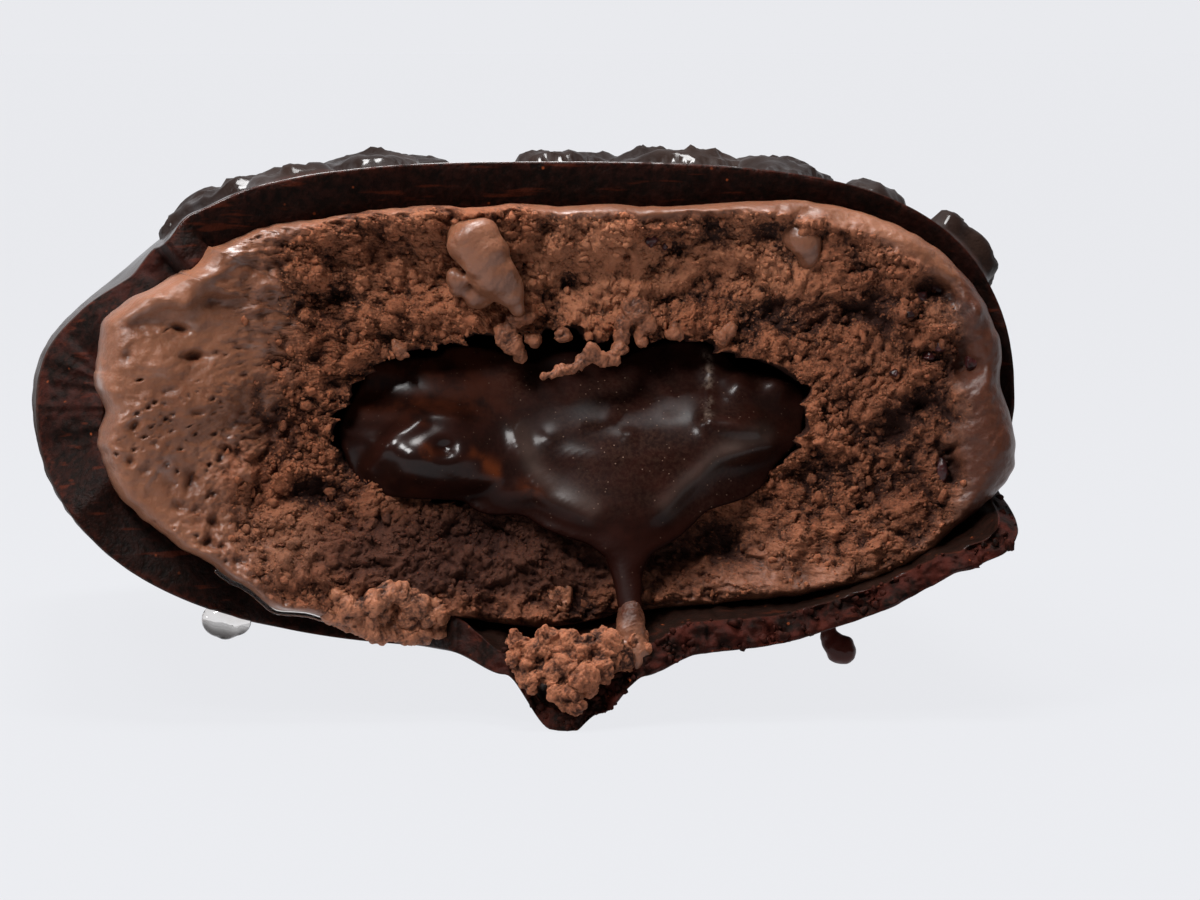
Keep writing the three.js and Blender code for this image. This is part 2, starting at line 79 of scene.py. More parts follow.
def tipped(points):
    """The bar turned about X, so that both of its resting points are level."""
    y, z = points[..., 1], points[..., 2]
    c, s = np.cos(TIP_BACK), np.sin(TIP_BACK)
    return np.stack([points[..., 0], y * c + z * s, z * c - y * s], -1)


fudge_corner = np.array(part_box("fudge_core")[1]) / MM
shift = np.array([
    fudge_corner[0] - (CORE_X + CORE_HALF_WIDTH),
    fudge_corner[1] - tipped(np.array([CORE_X, CORE_BACK, CORE_Z]))[1],
    -tipped(FRONT_REST)[2],
])


def placed(points):
    """Metres in the frame, from millimetres on the level bar."""
    return (tipped(np.asarray(points, float)) + shift) * MM


print("tipped back by", np.degrees(TIP_BACK).round(2), "degrees, shift in mm:", shift.round(2))

# %% [markdown]
# ## Values round the section
# The shell is thick on top and thin on the right, its broken edge runs in and out, and a
# flake is bent down. All that is written as short tables of a value at an angle, seen
# from the bite, with 0 at the right and 90 at the top. A smooth step joins the entries.

# %% Tables round the section
# Squareness of the outline. Beside the bite the left shoulder has a dent ...
CORNER_SQUARENESS = [
    (0, 2.6), (35, 3.1), (90, 2.7), (140, 2.5), (150, 2.3), (156, 2.0), (162, 1.76), (168, 1.9),
    (175, 2.15), (186, 2.25), (205, 2.35), (330, 2.5),
]
# ... and further back it has the mould's plain shape.
MOULD_SQUARENESS = [
    (0, 2.6), (35, 3.1), (90, 2.7), (140, 2.5), (163, 1.95), (186, 2.25), (205, 2.35), (330, 2.5),
]
DENT_FADES = (3.0, 11.0)  # behind the bite
# From the outside of the shell to the ice cream.
SHELL_THICKNESS = [
    (0, 0.8), (30, 1.3), (60, 2.3), (145, 2.3), (157, 1.9), (163, 1.0), (166, 1.1), (172, 2.8),
    (180, 3.4), (187, 3.0), (195, 2.6), (208, 2.6), (214, 2.1), (221, 1.3), (240, 1.5), (250, 1.8),
    (275, 1.4), (300, 2.0), (345, 1.2),
]
# Where the outside of the shell ends, behind the bite's plane; a minus is in front of it.
SHELL_BROKEN_EDGE = [
    (0, 2.2), (12, 2.0), (24, 1.7), (60, 1.3), (110, 1.6), (138, 0.7), (155.6, 0.8),
    (156.8, 6.0), (172, 6.6), (184, 5.6), (194, 1.7), (208, 0.8), (215, 1.4), (222, 3.6), (244, 3.8),
    (252, -1.0), (262, -2.8), (274, -5.4), (284, -4.6), (300, -2.9), (322, -2.2), (345, -2.5),
    (350, 5.0), (353, 7.0), (357, 2.8),
]
# How much further back the broken band ends at the inside of the shell.
FRACTURE_SLOPE = [(0, 0.5), (150, 0.5), (158, -1.2), (170, -2.0), (184, -2.2), (196, 0.5)]
# How far the broken edge is bent away from the bar, and how long the bend is.
SHELL_FLARE = [
    (0, 0), (250, 0), (262, 1.0), (272, 3.6), (276, 3.75), (283, 2.9), (293, 1.2), (304, 0.4),
    (318, 0.5), (327, 0.35), (338, 0.3), (341, 0.8), (344, 1.2), (347, 1.1), (351, 0),
]
FLARE_LENGTH = 8.5


def smooth(low, high, value):
    """0 below low, 1 above high and a smooth step between."""
    t = np.clip((value - low) / (high - low), 0.0, 1.0)
    return t * t * (3 - 2 * t)


def mix(a, b, t):
    """From a to b as t goes from 0 to 1."""
    return a + (b - a) * t


def around(table, angle):
    """Smooth value at each angle, from a table that closes on itself."""
    stops = np.array(table + [(table[0][0] + 360, table[0][1])], float)
    degrees = np.degrees(angle) % 360
    i = np.clip(np.searchsorted(stops[:, 0], degrees, side="right") - 1, 0, len(table) - 1)
    return mix(stops[i, 1], stops[i + 1, 1], smooth(stops[i, 0], stops[i + 1, 0], degrees))


def hump(x, z, middle_x, middle_z, half_x, half_z):
    """A hump of height 1 at the middle of an oval."""
    return np.exp(-(((x - middle_x) / half_x) ** 2) - ((z - middle_z) / half_z) ** 2)


def humps(x, z, rows):
    """Several humps together; a row is a height, a middle x and z, and two half sizes."""
    return sum(height * hump(x, z, *oval) for height, *oval in rows)


def ridge(x, z, route, half_width):
    """A ridge of height 1 along a route of points."""
    nearest = np.full(x.shape, 1e9)
    for (ax, az), (bx, bz) in zip(route, route[1:]):
        run = np.array([bx - ax, bz - az])
        t = np.clip(((x - ax) * run[0] + (z - az) * run[1]) / (run @ run), 0, 1)
        nearest = np.minimum(nearest, np.hypot(x - ax - t * run[0], z - az - t * run[1]))
    return np.exp(-((nearest / half_width) ** 2))


def ridges(x, z, rows):
    """Several ridges together; a row is a height, a half width and a route."""
    return sum(height * ridge(x, z, route, half_width) for height, half_width, route in rows)


print("flake reach:", around(SHELL_FLARE, np.radians([270.0, 276.0, 290.0])).round(2))

# %% [markdown]
# ## Repeatable noise
# Ice cream that was bitten while frozen breaks into round grains with dark clefts between
# them. A lattice of hashed random numbers gives two kinds of pattern: smooth noise for
# swells, and cells, whose nearest-point distance makes packed round grains. Both depend
# only on the place and a seed, so the mesh is the same each time.

# %% Smooth noise
def hashed(i, j, k, seed):
    """A number from 0 to 1 for each lattice point; the multipliers only mix its bits."""
    h = i.astype(np.uint32) * np.uint32(374761393)
    h = h ^ (j.astype(np.uint32) * np.uint32(668265263))
    h = h ^ (k.astype(np.uint32) * np.uint32(2246822519))
    h = h ^ np.uint32((seed * 1274126177) & 0xFFFFFFFF)
    h = (h ^ (h >> np.uint32(13))) * np.uint32(1103515245)
    h = (h ^ (h >> np.uint32(16))) * np.uint32(2654435769)
    return (h ^ (h >> np.uint32(15))) / 2.0**32


def noise(points, size, seed):
    """Smooth noise from -1 to 1 with swells of about the given size."""
    q = points / size
    i = np.floor(q).astype(np.int64)
    f = smooth(0.0, 1.0, q - i)
    total = np.zeros(q.shape[:-1])
    for corner in itertools.product((0, 1), repeat=3):
        weight = np.ones(q.shape[:-1])
        for axis, side in enumerate(corner):
            weight = weight * (f[..., axis] if side else 1 - f[..., axis])
        c = i + np.array(corner)
        total += weight * hashed(c[..., 0], c[..., 1], c[..., 2], seed)
    return total * 2 - 1


def jagged(points, sizes, heights, seed):
    """Noise of several sizes, each with its own height."""
    return sum(h * noise(points, s, seed + n) for n, (s, h) in enumerate(zip(sizes, heights)))


def layered(points, size, seed, layers=3, fade=0.5):
    """Noise with finer noise on top, still from about -1 to 1."""
    heights = fade ** np.arange(layers)
    return jagged(points, size / 2.0 ** np.arange(layers), heights, seed) / heights.sum()


def nudged(points, size, reach, seed):
    """Points moved about by noise, so that what is laid on them is not in rows."""
    return points + reach * np.stack([noise(points, size, seed + axis) for axis in range(3)], -1)


line = np.stack([np.linspace(0, 20, 5), np.zeros(5), np.zeros(5)], -1)
print("noise along a line of 20 mm:", layered(line, 4.0, 1).round(2))

# %% Cells, grains and bubbles
PACKED = 0.68  # the radius of packed balls, in cell sizes


def nearest_cell(points, size, seed):
    """Distance to the nearest scattered cell middle, in cell sizes, and that cell's number."""
    q = points / size
    base = np.floor(q).astype(np.int64)
    nearest = np.full(q.shape[:-1], 9.0)
    tag = np.zeros(q.shape[:-1])
    for step in itertools.product((-1, 0, 1), repeat=3):
        c = base + np.array(step)
        i, j, k = c[..., 0], c[..., 1], c[..., 2]
        middle = c + np.stack([hashed(i, j, k, seed + axis) for axis in range(3)], -1)
        distance = np.linalg.norm(q - middle, axis=-1)
        tag = np.where(distance < nearest, hashed(i, j, k, seed + 3), tag)
        nearest = np.minimum(nearest, distance)
    return nearest, tag


def grains(points, size, seed):
    """Half balls packed side by side: 1 on top of a ball, 0 in the clefts."""
    nearest, _ = nearest_cell(points, size, seed)
    return np.sqrt(np.clip(1 - (nearest / PACKED) ** 2, 0, 1))


def bubbles(points, size, seed, radius, share):
    """Scattered round pits, 1 in the middle and 0 outside, in a share of the cells."""
    nearest, tag = nearest_cell(points, size, seed)
    return np.where(tag < share, 1 - smooth(0.3, 1.0, nearest * size / radius), 0.0)


print("grains along the same line:", grains(line, 1.5, 12).round(2))

# %% [markdown]
# ## Closed surfaces from rings
# The shell, the ice cream and the fudge are closed tubes: rings of points, joined by
# triangles and shut by a point at each end. A face full of crumbs needs a thousand
# points in a ring and the hidden back only a few, so blocks of rings may differ in their
# count, and a seam of triangle fans joins them. Values that the finish needs later, such
# as how melted a place is, are stored on the points.

# %% Rings joined into a closed surface
OVAL_FLATNESS = 1.45


def directions(count):
    """Angles whose points lie about evenly on a flat oval."""
    turn = np.arange(count) / count * 2 * np.pi
    return np.arctan2(np.sin(turn), OVAL_FLATNESS * np.cos(turn))


def seam(a_start, a_count, b_start, b_count):
    """Triangles between two rings whose counts are equal or a whole multiple."""
    if b_count > a_count:
        return seam(b_start, b_count, a_start, a_count)[:, ::-1]
    ratio = a_count // b_count
    coarse = np.arange(b_count)
    coarse_next = (coarse + 1) % b_count
    half = (ratio + 1) // 2
    fans = []
    for s in range(ratio):
        fine, fine_next = coarse * ratio + s, (coarse * ratio + s + 1) % a_count
        tip = coarse if s < half else coarse_next
        fans.append(np.stack([a_start + fine, a_start + fine_next, b_start + tip], -1))
    middle = (coarse * ratio + half) % a_count
    fans.append(np.stack([a_start + middle, b_start + coarse_next, b_start + coarse], -1))
    return np.concatenate(fans)


def loft(first, blocks, last):
    """Points and triangles of a closed surface through blocks of rings, from pole to pole."""
    rings = [ring for block in blocks for ring in block]
    counts = np.array([len(ring) for ring in rings])
    starts = 1 + np.concatenate([[0], np.cumsum(counts)])
    faces = []
    for r in range(len(rings) - 1):
        faces.append(seam(starts[r], counts[r], starts[r + 1], counts[r + 1]))
    for pole, r, turn in ((0, 0, -1), (starts[-1], len(rings) - 1, 1)):
        c = np.arange(counts[r])
        cap = np.stack([starts[r] + c, starts[r] + (c + 1) % counts[r], np.full_like(c, pole)], -1)
        faces.append(cap[:, ::turn])
    return np.concatenate([[first], *rings, [last]]), np.concatenate(faces)


def spread(blocks, levels):
    """A value for each point of a loft; a level is one number or a block's own numbers."""
    filled = [level + np.zeros(block.shape[:2]) for block, level in zip(blocks, levels)]
    flat = np.concatenate([level.ravel() for level in filled])
    return np.concatenate([flat[:1], flat, flat[-1:]])


square = np.array([[1.0, 0, 0], [0, 0, 1], [-1, 0, 0], [0, 0, -1]])
_, square_faces = loft([0, -1, 0], [[square, square + [0, 3, 0]]], [0, 4, 0])
print("two squares lofted:", len(square_faces), "triangles")

# %% [markdown]
# Blender keeps a mesh's points, corners and faces in long rows. Filling each row in one
# go is much faster than adding faces one by one, and matters with a million triangles.

# %% A mesh and an object from points
def corners_of(points, faces):
    """The three corners of every triangle."""
    return [points[faces[:, i]] for i in range(3)]


def new_object(name, data):
    """An object that shows a mesh, a light or a camera."""
    made = bpy.data.objects.new(name, data)
    bpy.context.scene.collection.objects.link(made)
    return made


def new_piece(name, points, faces, values=None):
    """A smooth object from level points, with its faces turned outwards.

    A value is one number, a number for each point, or a function of the points.
    """
    a, b, c = corners_of(points, faces)
    volume = np.einsum("ij,ij->", a, np.cross(b, c)) / 6
    faces = faces if volume > 0 else faces[:, ::-1]
    mesh = bpy.data.meshes.new(name)
    mesh.vertices.add(len(points))
    mesh.vertices.foreach_set("co", placed(points).ravel())
    mesh.loops.add(faces.size)
    mesh.polygons.add(len(faces))
    mesh.polygons.foreach_set("loop_start", np.arange(0, faces.size, 3))
    mesh.loops.foreach_set("vertex_index", faces.ravel())
    mesh.polygons.foreach_set("use_smooth", np.ones(len(faces), bool))
    mesh.update(calc_edges=True)
    for key, value in (values or {}).items():
        value = value(points) if callable(value) else value
        layer = mesh.attributes.new(key, "FLOAT", "POINT")
        layer.data.foreach_set("value", np.full(len(points), value, np.float32))
    print(f"{name}: {len(faces)} triangles, {abs(volume) / 1000:.2f} cm3")
    return new_object(name, mesh)


def dress(piece, node):
    """Ride on the one body and stand for a solid, which is hidden."""
    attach(piece, "root")
    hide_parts(node)


# %% [markdown]
# ## Lumps that melt together
# Drips, a fallen crumb and the lip that sags over the shell are knobs of ice cream grown
# into each other. Balls of the right sizes give the form, a voxel remesh turns them into
# one skin, and a few rounds of smoothing melt the creases between them.

# %% Balls
def outward_faces(points, faces):
    """Faces of a body round the origin, all turned outwards."""
    a, b, c = corners_of(points, faces)
    inward = np.einsum("ij,ij->i", a, np.cross(b, c)) < 0
    return np.where(inward[:, None], faces[:, ::-1], faces)


def ball_mesh():
    """Points and triangles of a ball of radius 1, made from an icosahedron."""
    golden = (1 + 5**0.5) / 2
    corners = [(0, s, t * golden) for s in (-1, 1) for t in (-1, 1)]
    points = np.array([np.roll(corner, axis) for axis in range(3) for corner in corners], float)
    points /= np.linalg.norm(points, axis=1, keepdims=True)
    apart = np.linalg.norm(points[:, None] - points[None], axis=-1)
    edge = np.sort(apart[0])[1]
    near = apart < edge * 1.1
    faces = [f for f in itertools.combinations(range(12), 3) if near[np.ix_(f, f)].all()]
    return points, outward_faces(points, np.array(faces))


def finer_ball(points, faces):
    """Each triangle split into four, with the new points on the ball."""
    edges = np.sort(np.concatenate([faces[:, [0, 1]], faces[:, [1, 2]], faces[:, [2, 0]]]), axis=1)
    unique, back = np.unique(edges, axis=0, return_inverse=True)
    middle = points[unique].mean(axis=1)
    middle /= np.linalg.norm(middle, axis=1, keepdims=True)
    ab, bc, ca = back.reshape(3, -1) + len(points)
    a, b, c = faces.T
    quarters = ((a, ab, ca), (ab, b, bc), (ca, bc, c), (ab, bc, ca))
    return np.concatenate([points, middle]), np.concatenate([np.stack(q, -1) for q in quarters])


BALL_20 = ball_mesh()
BALL_80 = finer_ball(*BALL_20)
BALL_320 = finer_ball(*BALL_80)


def scattered_balls(ball, middles, radii, uneven, seed):
    """Many uneven balls in one mesh; radii has three numbers for each ball."""
    points, faces = ball
    own = np.arange(len(middles))[:, None, None] * 7.3  # so that no two balls are alike
    knobbly = 1 + uneven * noise(points[None] * 1.3 + own, 1.0, seed)
    cloud = points[None] * knobbly[..., None] * radii[:, None, :] + middles[:, None, :]
    steps = np.arange(len(middles))[:, None, None] * len(points)
    return cloud.reshape(-1, 3), (faces[None] + steps).reshape(-1, 3)


print("ball triangles:", [len(faces) for _, faces in (BALL_20, BALL_80, BALL_320)])

# %% One skin and its smoothing
def one_skin(points, faces, voxel):
    """Everything that overlaps, as one closed skin of triangles."""
    mesh = bpy.data.meshes.new("loose")
    mesh.from_pydata(points.tolist(), [], faces.tolist())
    piece = new_object("loose", mesh)
    remesh = piece.modifiers.new("remesh", "REMESH")
    remesh.mode, remesh.voxel_size = "VOXEL", voxel
    skin = piece.evaluated_get(bpy.context.evaluated_depsgraph_get()).to_mesh()
    new_points = np.empty(len(skin.vertices) * 3)
    skin.vertices.foreach_get("co", new_points)
    skin.calc_loop_triangles()
    new_faces = np.empty(len(skin.loop_triangles) * 3, np.int32)
    skin.loop_triangles.foreach_get("vertices", new_faces)
    bpy.data.objects.remove(piece)
    bpy.data.meshes.remove(mesh)
    return new_points.reshape(-1, 3), new_faces.reshape(-1, 3).astype(np.int64)


def smoothed(points, faces, rounds, weight=1.0):
    """Points drawn halfway to the middle of their neighbours, some rounds, by their weight."""
    start = np.concatenate([faces[:, 0], faces[:, 1], faces[:, 2]])
    end = np.concatenate([faces[:, 1], faces[:, 2], faces[:, 0]])
    count = np.bincount(start, minlength=len(points))[:, None]
    share = 0.5 * np.broadcast_to(weight, len(points))[:, None]
    for _ in range(rounds):
        columns = [np.bincount(start, points[end, axis], len(points)) for axis in range(3)]
        total = np.stack(columns, -1)
        points = mix(points, total / np.maximum(count, 1), share)
    return points


def normals_of(points, faces):
    """The direction out of the skin at each point."""
    a, b, c = corners_of(points, faces)
    flat = np.cross(b - a, c - a)
    total = np.zeros_like(points)
    for i in range(3):
        for axis in range(3):
            total[:, axis] += np.bincount(faces[:, i], flat[:, axis], len(points))
    return total / np.maximum(np.linalg.norm(total, axis=1, keepdims=True), 1e-12)


_, skin_faces = one_skin(*BALL_320, 0.1)
print("a ball as one skin:", len(skin_faces), "triangles")

# %% [markdown]
# ## The outside of the bar
# In section the bar is a flat oval with full shoulders, a superellipse whose squareness
# changes from corner to corner. Towards the back end the same outline draws in, by a
# large radius seen from above and a smaller one seen from the side, as the mould does.

# %% Outline and skin
def oval_reach(angle, half_width, half_height, power):
    """From the middle of a flat oval to its edge; a higher power gives fuller shoulders."""
    wide, high = np.abs(np.cos(angle) / half_width), np.abs(np.sin(angle) / half_height)
    return (wide**power + high**power) ** (-1 / power)


def drawn_in(y, radius):
    """How far the outline is drawn in near the back end."""
    t = np.clip((y - (BACK_END - radius)) / radius, 0, 1)
    return radius * (1 - (1 - t**BACK_SQUARENESS) ** (1 / BACK_SQUARENESS))


def outline_point(angle, y):
    """A point on the outside of the plain bar."""
    half_width = HALF_WIDTH - drawn_in(y, BACK_CORNER_RADIUS)
    half_height = HALF_HEIGHT - drawn_in(y, BACK_EDGE_RADIUS)
    mould = around(MOULD_SQUARENESS, angle)
    power = mix(around(CORNER_SQUARENESS, angle), mould, smooth(*DENT_FADES, y))
    reach = oval_reach(angle, half_width, half_height, power)
    x, z = CENTRE_X + reach * np.cos(angle), CENTRE_Z + reach * np.sin(angle)
    return np.stack([x, y + 0 * reach, z], -1)


def outward_at(angle, y):
    """The direction away from the bar, from two short steps on its outline."""
    step = 0.02
    across = outline_point(angle + step, y) - outline_point(angle - step, y)
    along = outline_point(angle, np.minimum(y + step, BACK_END)) - outline_point(angle, y - step)
    outward = np.cross(along, across)
    return outward / np.linalg.norm(outward, axis=-1, keepdims=True)


def skin_point(angle, y, depth):
    """A point at a depth under the outline."""
    return outline_point(angle, y) - outward_at(angle, y) * np.asarray(depth)[..., None]


SHORT_OF_POLE = 0.999  # the last ring must not shrink to a point


def side_depths(front, straight, rounded, crowd):
    """Depth of each ring from a front edge to the back end, closer together at both ends."""
    round_start = BACK_END - BACK_CORNER_RADIUS
    share = ((np.arange(straight) / straight) ** crowd)[:, None]
    turn = np.sin(np.arange(rounded + 1) / rounded * np.pi / 2)[:, None]
    behind = round_start + BACK_CORNER_RADIUS * turn * SHORT_OF_POLE + 0 * front
    return np.concatenate([mix(front, round_start, share), behind])


four_ways = np.radians([0.0, 90.0, 180.0, 270.0])
print("section at the bite:", outline_point(four_ways, np.zeros(4)).round(1).tolist())

# %% [markdown]
# ## Finishes as expressions
# A finish is a network of nodes. To read it like a formula, a wire wraps a socket, and
# each operator on it adds the Math node that does the sum. Colours are blended by Mix
# nodes, because a Math node would turn them grey.

# %% Wires and finishes
class Wire:
    """An output socket that can stand in an expression."""

    def __init__(self, network, socket):
        self.network, self.socket = network, socket

    def math(self, operation, *values):
        return self.network.node("ShaderNodeMath", {"operation": operation}, dict(enumerate(values)))

    def __add__(self, other):
        return self.math("ADD", self, other)

    def __mul__(self, other):
        return self.math("MULTIPLY", self, other)

    def __sub__(self, other):
        return self.math("SUBTRACT", self, other)

    def __rsub__(self, other):
        return self.math("SUBTRACT", other, self)

    __radd__, __rmul__ = __add__, __mul__

    def most(self, other):
        return self.math("MAXIMUM", self, other)

    def between(self, low, high):
        """0 below low, 1 above high and a smooth step between."""
        values = {"Value": self, "From Min": low, "From Max": high}
        return self.network.node("ShaderNodeMapRange", {"interpolation_type": "SMOOTHSTEP"}, values)


def seen(red, green, blue):
    """A colour as it is seen, 0 to 255, turned into the light values that a shader takes."""
    c = np.array([red, green, blue]) / 255
    return tuple(np.where(c <= 0.04045, c / 12.92, ((c + 0.055) / 1.055) ** 2.4).tolist())


print("milk chocolate brown as light:", np.round(seen(156, 95, 66), 3))

# %% Networks and finishes
class Network:
    """A tree of nodes, and one way to add any node to it."""

    def __init__(self, tree):
        self.tree = tree

    def node(self, kind, settings=None, values=None, output=0):
        node = self.tree.nodes.new(kind)
        for key, value in (settings or {}).items():
            setattr(node, key, value)
        for key, value in (values or {}).items():
            if isinstance(value, Wire):
                self.tree.links.new(value.socket, node.inputs[key])
            else:
                node.inputs[key].default_value = value
        return Wire(self, node.outputs[output])


class Finish(Network):
    """A material with a Principled shader; what is the same all over is set on its sockets."""

    def __init__(self, name, **fixed):
        self.material = bpy.data.materials.new(name)
        self.material.use_nodes = True
        super().__init__(self.material.node_tree)
        self.shader = self.tree.nodes["Principled BSDF"]
        for key, value in fixed.items():
            self.shader.inputs[key.replace("_", " ")].default_value = value
        place = self.node("ShaderNodeTexCoord", output="Object")
        self.place = self.node("ShaderNodeVectorMath", {"operation": "SCALE"}, {0: place, "Scale": 1 / MM})

    def noise(self, size, detail=2.0, roughness=0.5, stretch=(1, 1, 1)):
        """Cloudy noise from about 0.2 to 0.8, with swells of a size in millimetres."""
        values = {0: self.place, 1: stretch}
        place = self.node("ShaderNodeVectorMath", {"operation": "MULTIPLY"}, values)
        values = {"Vector": place, "Scale": 1 / size, "Detail": detail, "Roughness": roughness}
        return self.node("ShaderNodeTexNoise", {}, values)

    def spots(self, size, radius):
        """Scattered round specks: 1 in the middle of a speck, 0 between them."""
        values = {"Vector": self.place, "Scale": 1 / size}
        distance = self.node("ShaderNodeTexVoronoi", {}, values, "Distance")
        return 1 - distance.between(0.5 * radius / size, radius / size)

    def stored(self, name):
        return self.node("ShaderNodeAttribute", {"attribute_name": name}, output="Fac")

    def blend(self, share, a, b):
        a, b = (c if isinstance(c, Wire) else (*c, 1.0) for c in (a, b))
        return self.node("ShaderNodeMix", {"data_type": "RGBA"}, {0: share, 6: a, 7: b}, 2)

    def set(self, **wires):
        for key, wire in wires.items():
            self.tree.links.new(wire.socket, self.shader.inputs[key.replace("_", " ")])

    def relief(self, *layers):
        """Bumps on top of each other, each a height from 0 to 1 and its size in millimetres."""
        normal = None
        for height, distance in layers:
            values = {"Height": height, "Distance": distance * MM}
            if normal:
                values["Normal"] = normal
            normal = self.node("ShaderNodeBump", {}, values)
        self.set(Normal=normal)

    def on(self, *pieces):
        for piece in pieces:
            piece.data.materials.clear()
            piece.data.materials.append(self.material)
        print(self.material.name, "on", len(pieces), "pieces:", len(self.tree.nodes), "nodes")


# %% [markdown]
# ## Ice cream
# The bitten face is the piece that is looked at most. It is a dish that sinks towards
# the fudge, with a melted rim, a melted left side, and crumbly ice cream everywhere
# else. The face is a grid from the rim to the tunnel's mouth that is lifted by heights:
# swells first, then half balls of ice cream in three sizes.

# %% Ice cream: where it melted
# How far behind the bite's plane the rim lies, and how wide its rounding is.
RIM_DEPTH = [
    (0, 1.9), (60, 1.4), (110, 1.6), (138, 1.1), (150, 1.2), (158, 1.5), (168, 1.6), (180, 1.7),
    (187, 1.8), (196, 1.5), (210, 0.8), (222, 1.1), (245, 1.2), (256, 1.7),
]
RIM_ROUND = [
    (0, 1.9), (30, 1.7), (60, 1.1), (100, 0.6), (125, 0.9), (140, 1.4), (160, 1.5), (175, 1.2),
    (195, 0.8), (220, 0.45), (250, 0.6), (330, 0.9),
]
# How far the rim spreads over the shell's inner edge.
RIM_SPILL = [
    (0, 0.4), (30, 0.35), (60, 0.25), (200, 0.25), (216, 0.45), (245, 0.45), (300, 0.25), (335, 0.5),
]
# The share of the way out at which the melted rim starts: wide at the right, none below.
RIM_MELTED = [
    (0, 0.91), (25, 0.9), (60, 0.92), (85, 0.93), (95, 0.965), (130, 0.97), (150, 0.9), (185, 0.9),
    (225, 0.95), (240, 0.99), (290, 0.99), (305, 0.94), (345, 0.93),
]
# At the right the rim bulges where the shell broke away, and is drawn in above that.
RIM_SAG = [(0.8, 24.5, 12.6, 2.0, 2.2), (-0.35, 24.5, 16.6, 2.0, 1.3)]
RIM_CLEARANCE = 0.05
BITE_DEPTH, DISH_POWER = 3.0, 2.4
# Swells of the dish: height, x, z, half width and half height of each.
FACE_SWELLS = [
    (1.6, -17.0, 16.0, 5.0, 7.0),  # the melted knob at the left
    (-0.9, -6.0, 22.3, 6.0, 1.8),  # two hollows under the rim
    (-0.8, 9.0, 22.4, 6.0, 1.6),
    (1.4, -7.0, 7.6, 7.0, 2.2),  # the ledge under the fudge
]
FACE_COLUMNS = 1000
FACE_RINGS = 84
SIDE_COLUMNS = FACE_COLUMNS // 4  # on the hidden sides
MELTED_LOW, MELTED_HIGH = -14.2, -11.9  # how far right the left side melted, low and high up


def melted_up_to(z):
    """Where the melted left side ends, further right near the top."""
    return mix(MELTED_LOW, MELTED_HIGH, smooth(9.0, 20.0, z))


def melted_share(points, share):
    """How much of each place is melted: the left side, the rim, the right and a stretch below."""
    x, z = points[..., 0], points[..., 2]
    start = around(RIM_MELTED, np.arctan2(z - CENTRE_Z, x - CENTRE_X))
    wander = 1.5 * layered(points, 2.4, 250, 4, 0.65) + 1.3 * noise(points, 0.6, 255)
    left_side = 1 - smooth(-1.7, 1.3, x - melted_up_to(z) + wander)
    rim = smooth(start, start + 0.06, share + 0.015 * wander)
    right_rim = smooth(20.8, 22.4, x + 0.4 * wander)
    lower_rim = 0.6 * hump(x, z, 13.5, 7.1, 4.8, 1.1)
    return np.maximum.reduce([left_side, rim, right_rim, lower_rim])


def face_depth(x, z, share):
    """Swells of the bitten face: depth behind the bite's plane."""
    dish = BITE_DEPTH * np.clip(1 - share**DISH_POWER, 0, None)
    return dish - humps(x, z, FACE_SWELLS)


print("the melted left side ends at x =", melted_up_to(np.array([9.0, 15.0, 20.0])).round(1))

# %% [markdown]
# Ice cream is full of air. Where it melted, bubbles burst and leave pits. Where it is
# crumbly, fruit falls out and leaves holes, and knobs stand out between them. The large
# ones are listed one by one, because they give the bite its own look, and noise makes the rest.

# %% Ice cream: pits and bulges
# Pits of burst bubbles and of fruit that fell out: x, z, half width, half height, depth.
PITS = [
    (-17.1, 19.7, 0.50, 0.20, 0.6), (-16.3, 18.4, 0.50, 0.24, 0.9), (-15.3, 20.9, 0.9, 0.45, 0.4),
    (-18.8, 19.9, 1.2, 0.4, 0.35), (-19.2, 14.9, 0.25, 0.45, 0.5), (-19.4, 13.3, 0.2, 0.25, 0.35),
    (-18.6, 12.9, 0.45, 0.25, 0.3), (-19.6, 18.4, 0.25, 0.3, 0.3), (-19.0, 17.2, 0.1, 0.1, 0.5),
    (-16.5, 12.3, 0.3, 0.4, 0.4), (-17.1, 10.9, 0.5, 0.3, 0.4), (-15.4, 10.2, 0.35, 0.3, 0.45),
    (-15.7, 9.3, 0.35, 0.3, 0.35), (-14.1, 8.4, 0.35, 0.3, 0.45), (-16.2, 15.6, 0.3, 0.2, 0.4),
    (20.4, 21.5, 0.9, 0.5, 1.3), (22.0, 17.7, 0.75, 0.9, 1.2), (21.2, 12.4, 0.5, 0.8, 0.7),
    (21.3, 13.4, 0.22, 0.22, 0.9), (20.2, 18.2, 0.9, 0.5, 0.8), (20.2, 15.9, 0.8, 0.5, 0.8),
    (-12.2, 15.0, 1.9, 1.5, 1.0), (10.2, 8.9, 1.7, 0.9, 1.5), (-9.8, 21.0, 1.9, 0.8, 1.0),
    (-2.2, 9.2, 1.8, 0.8, 0.9), (17.5, 20.3, 1.4, 1.1, 0.9), (2.5, 21.8, 0.8, 1.2, 0.6),
    (13.4, 20.2, 2.6, 0.8, 0.8), (18.6, 14.6, 1.3, 1.0, 0.7), (-10.4, 11.6, 1.3, 0.9, 0.7),
]
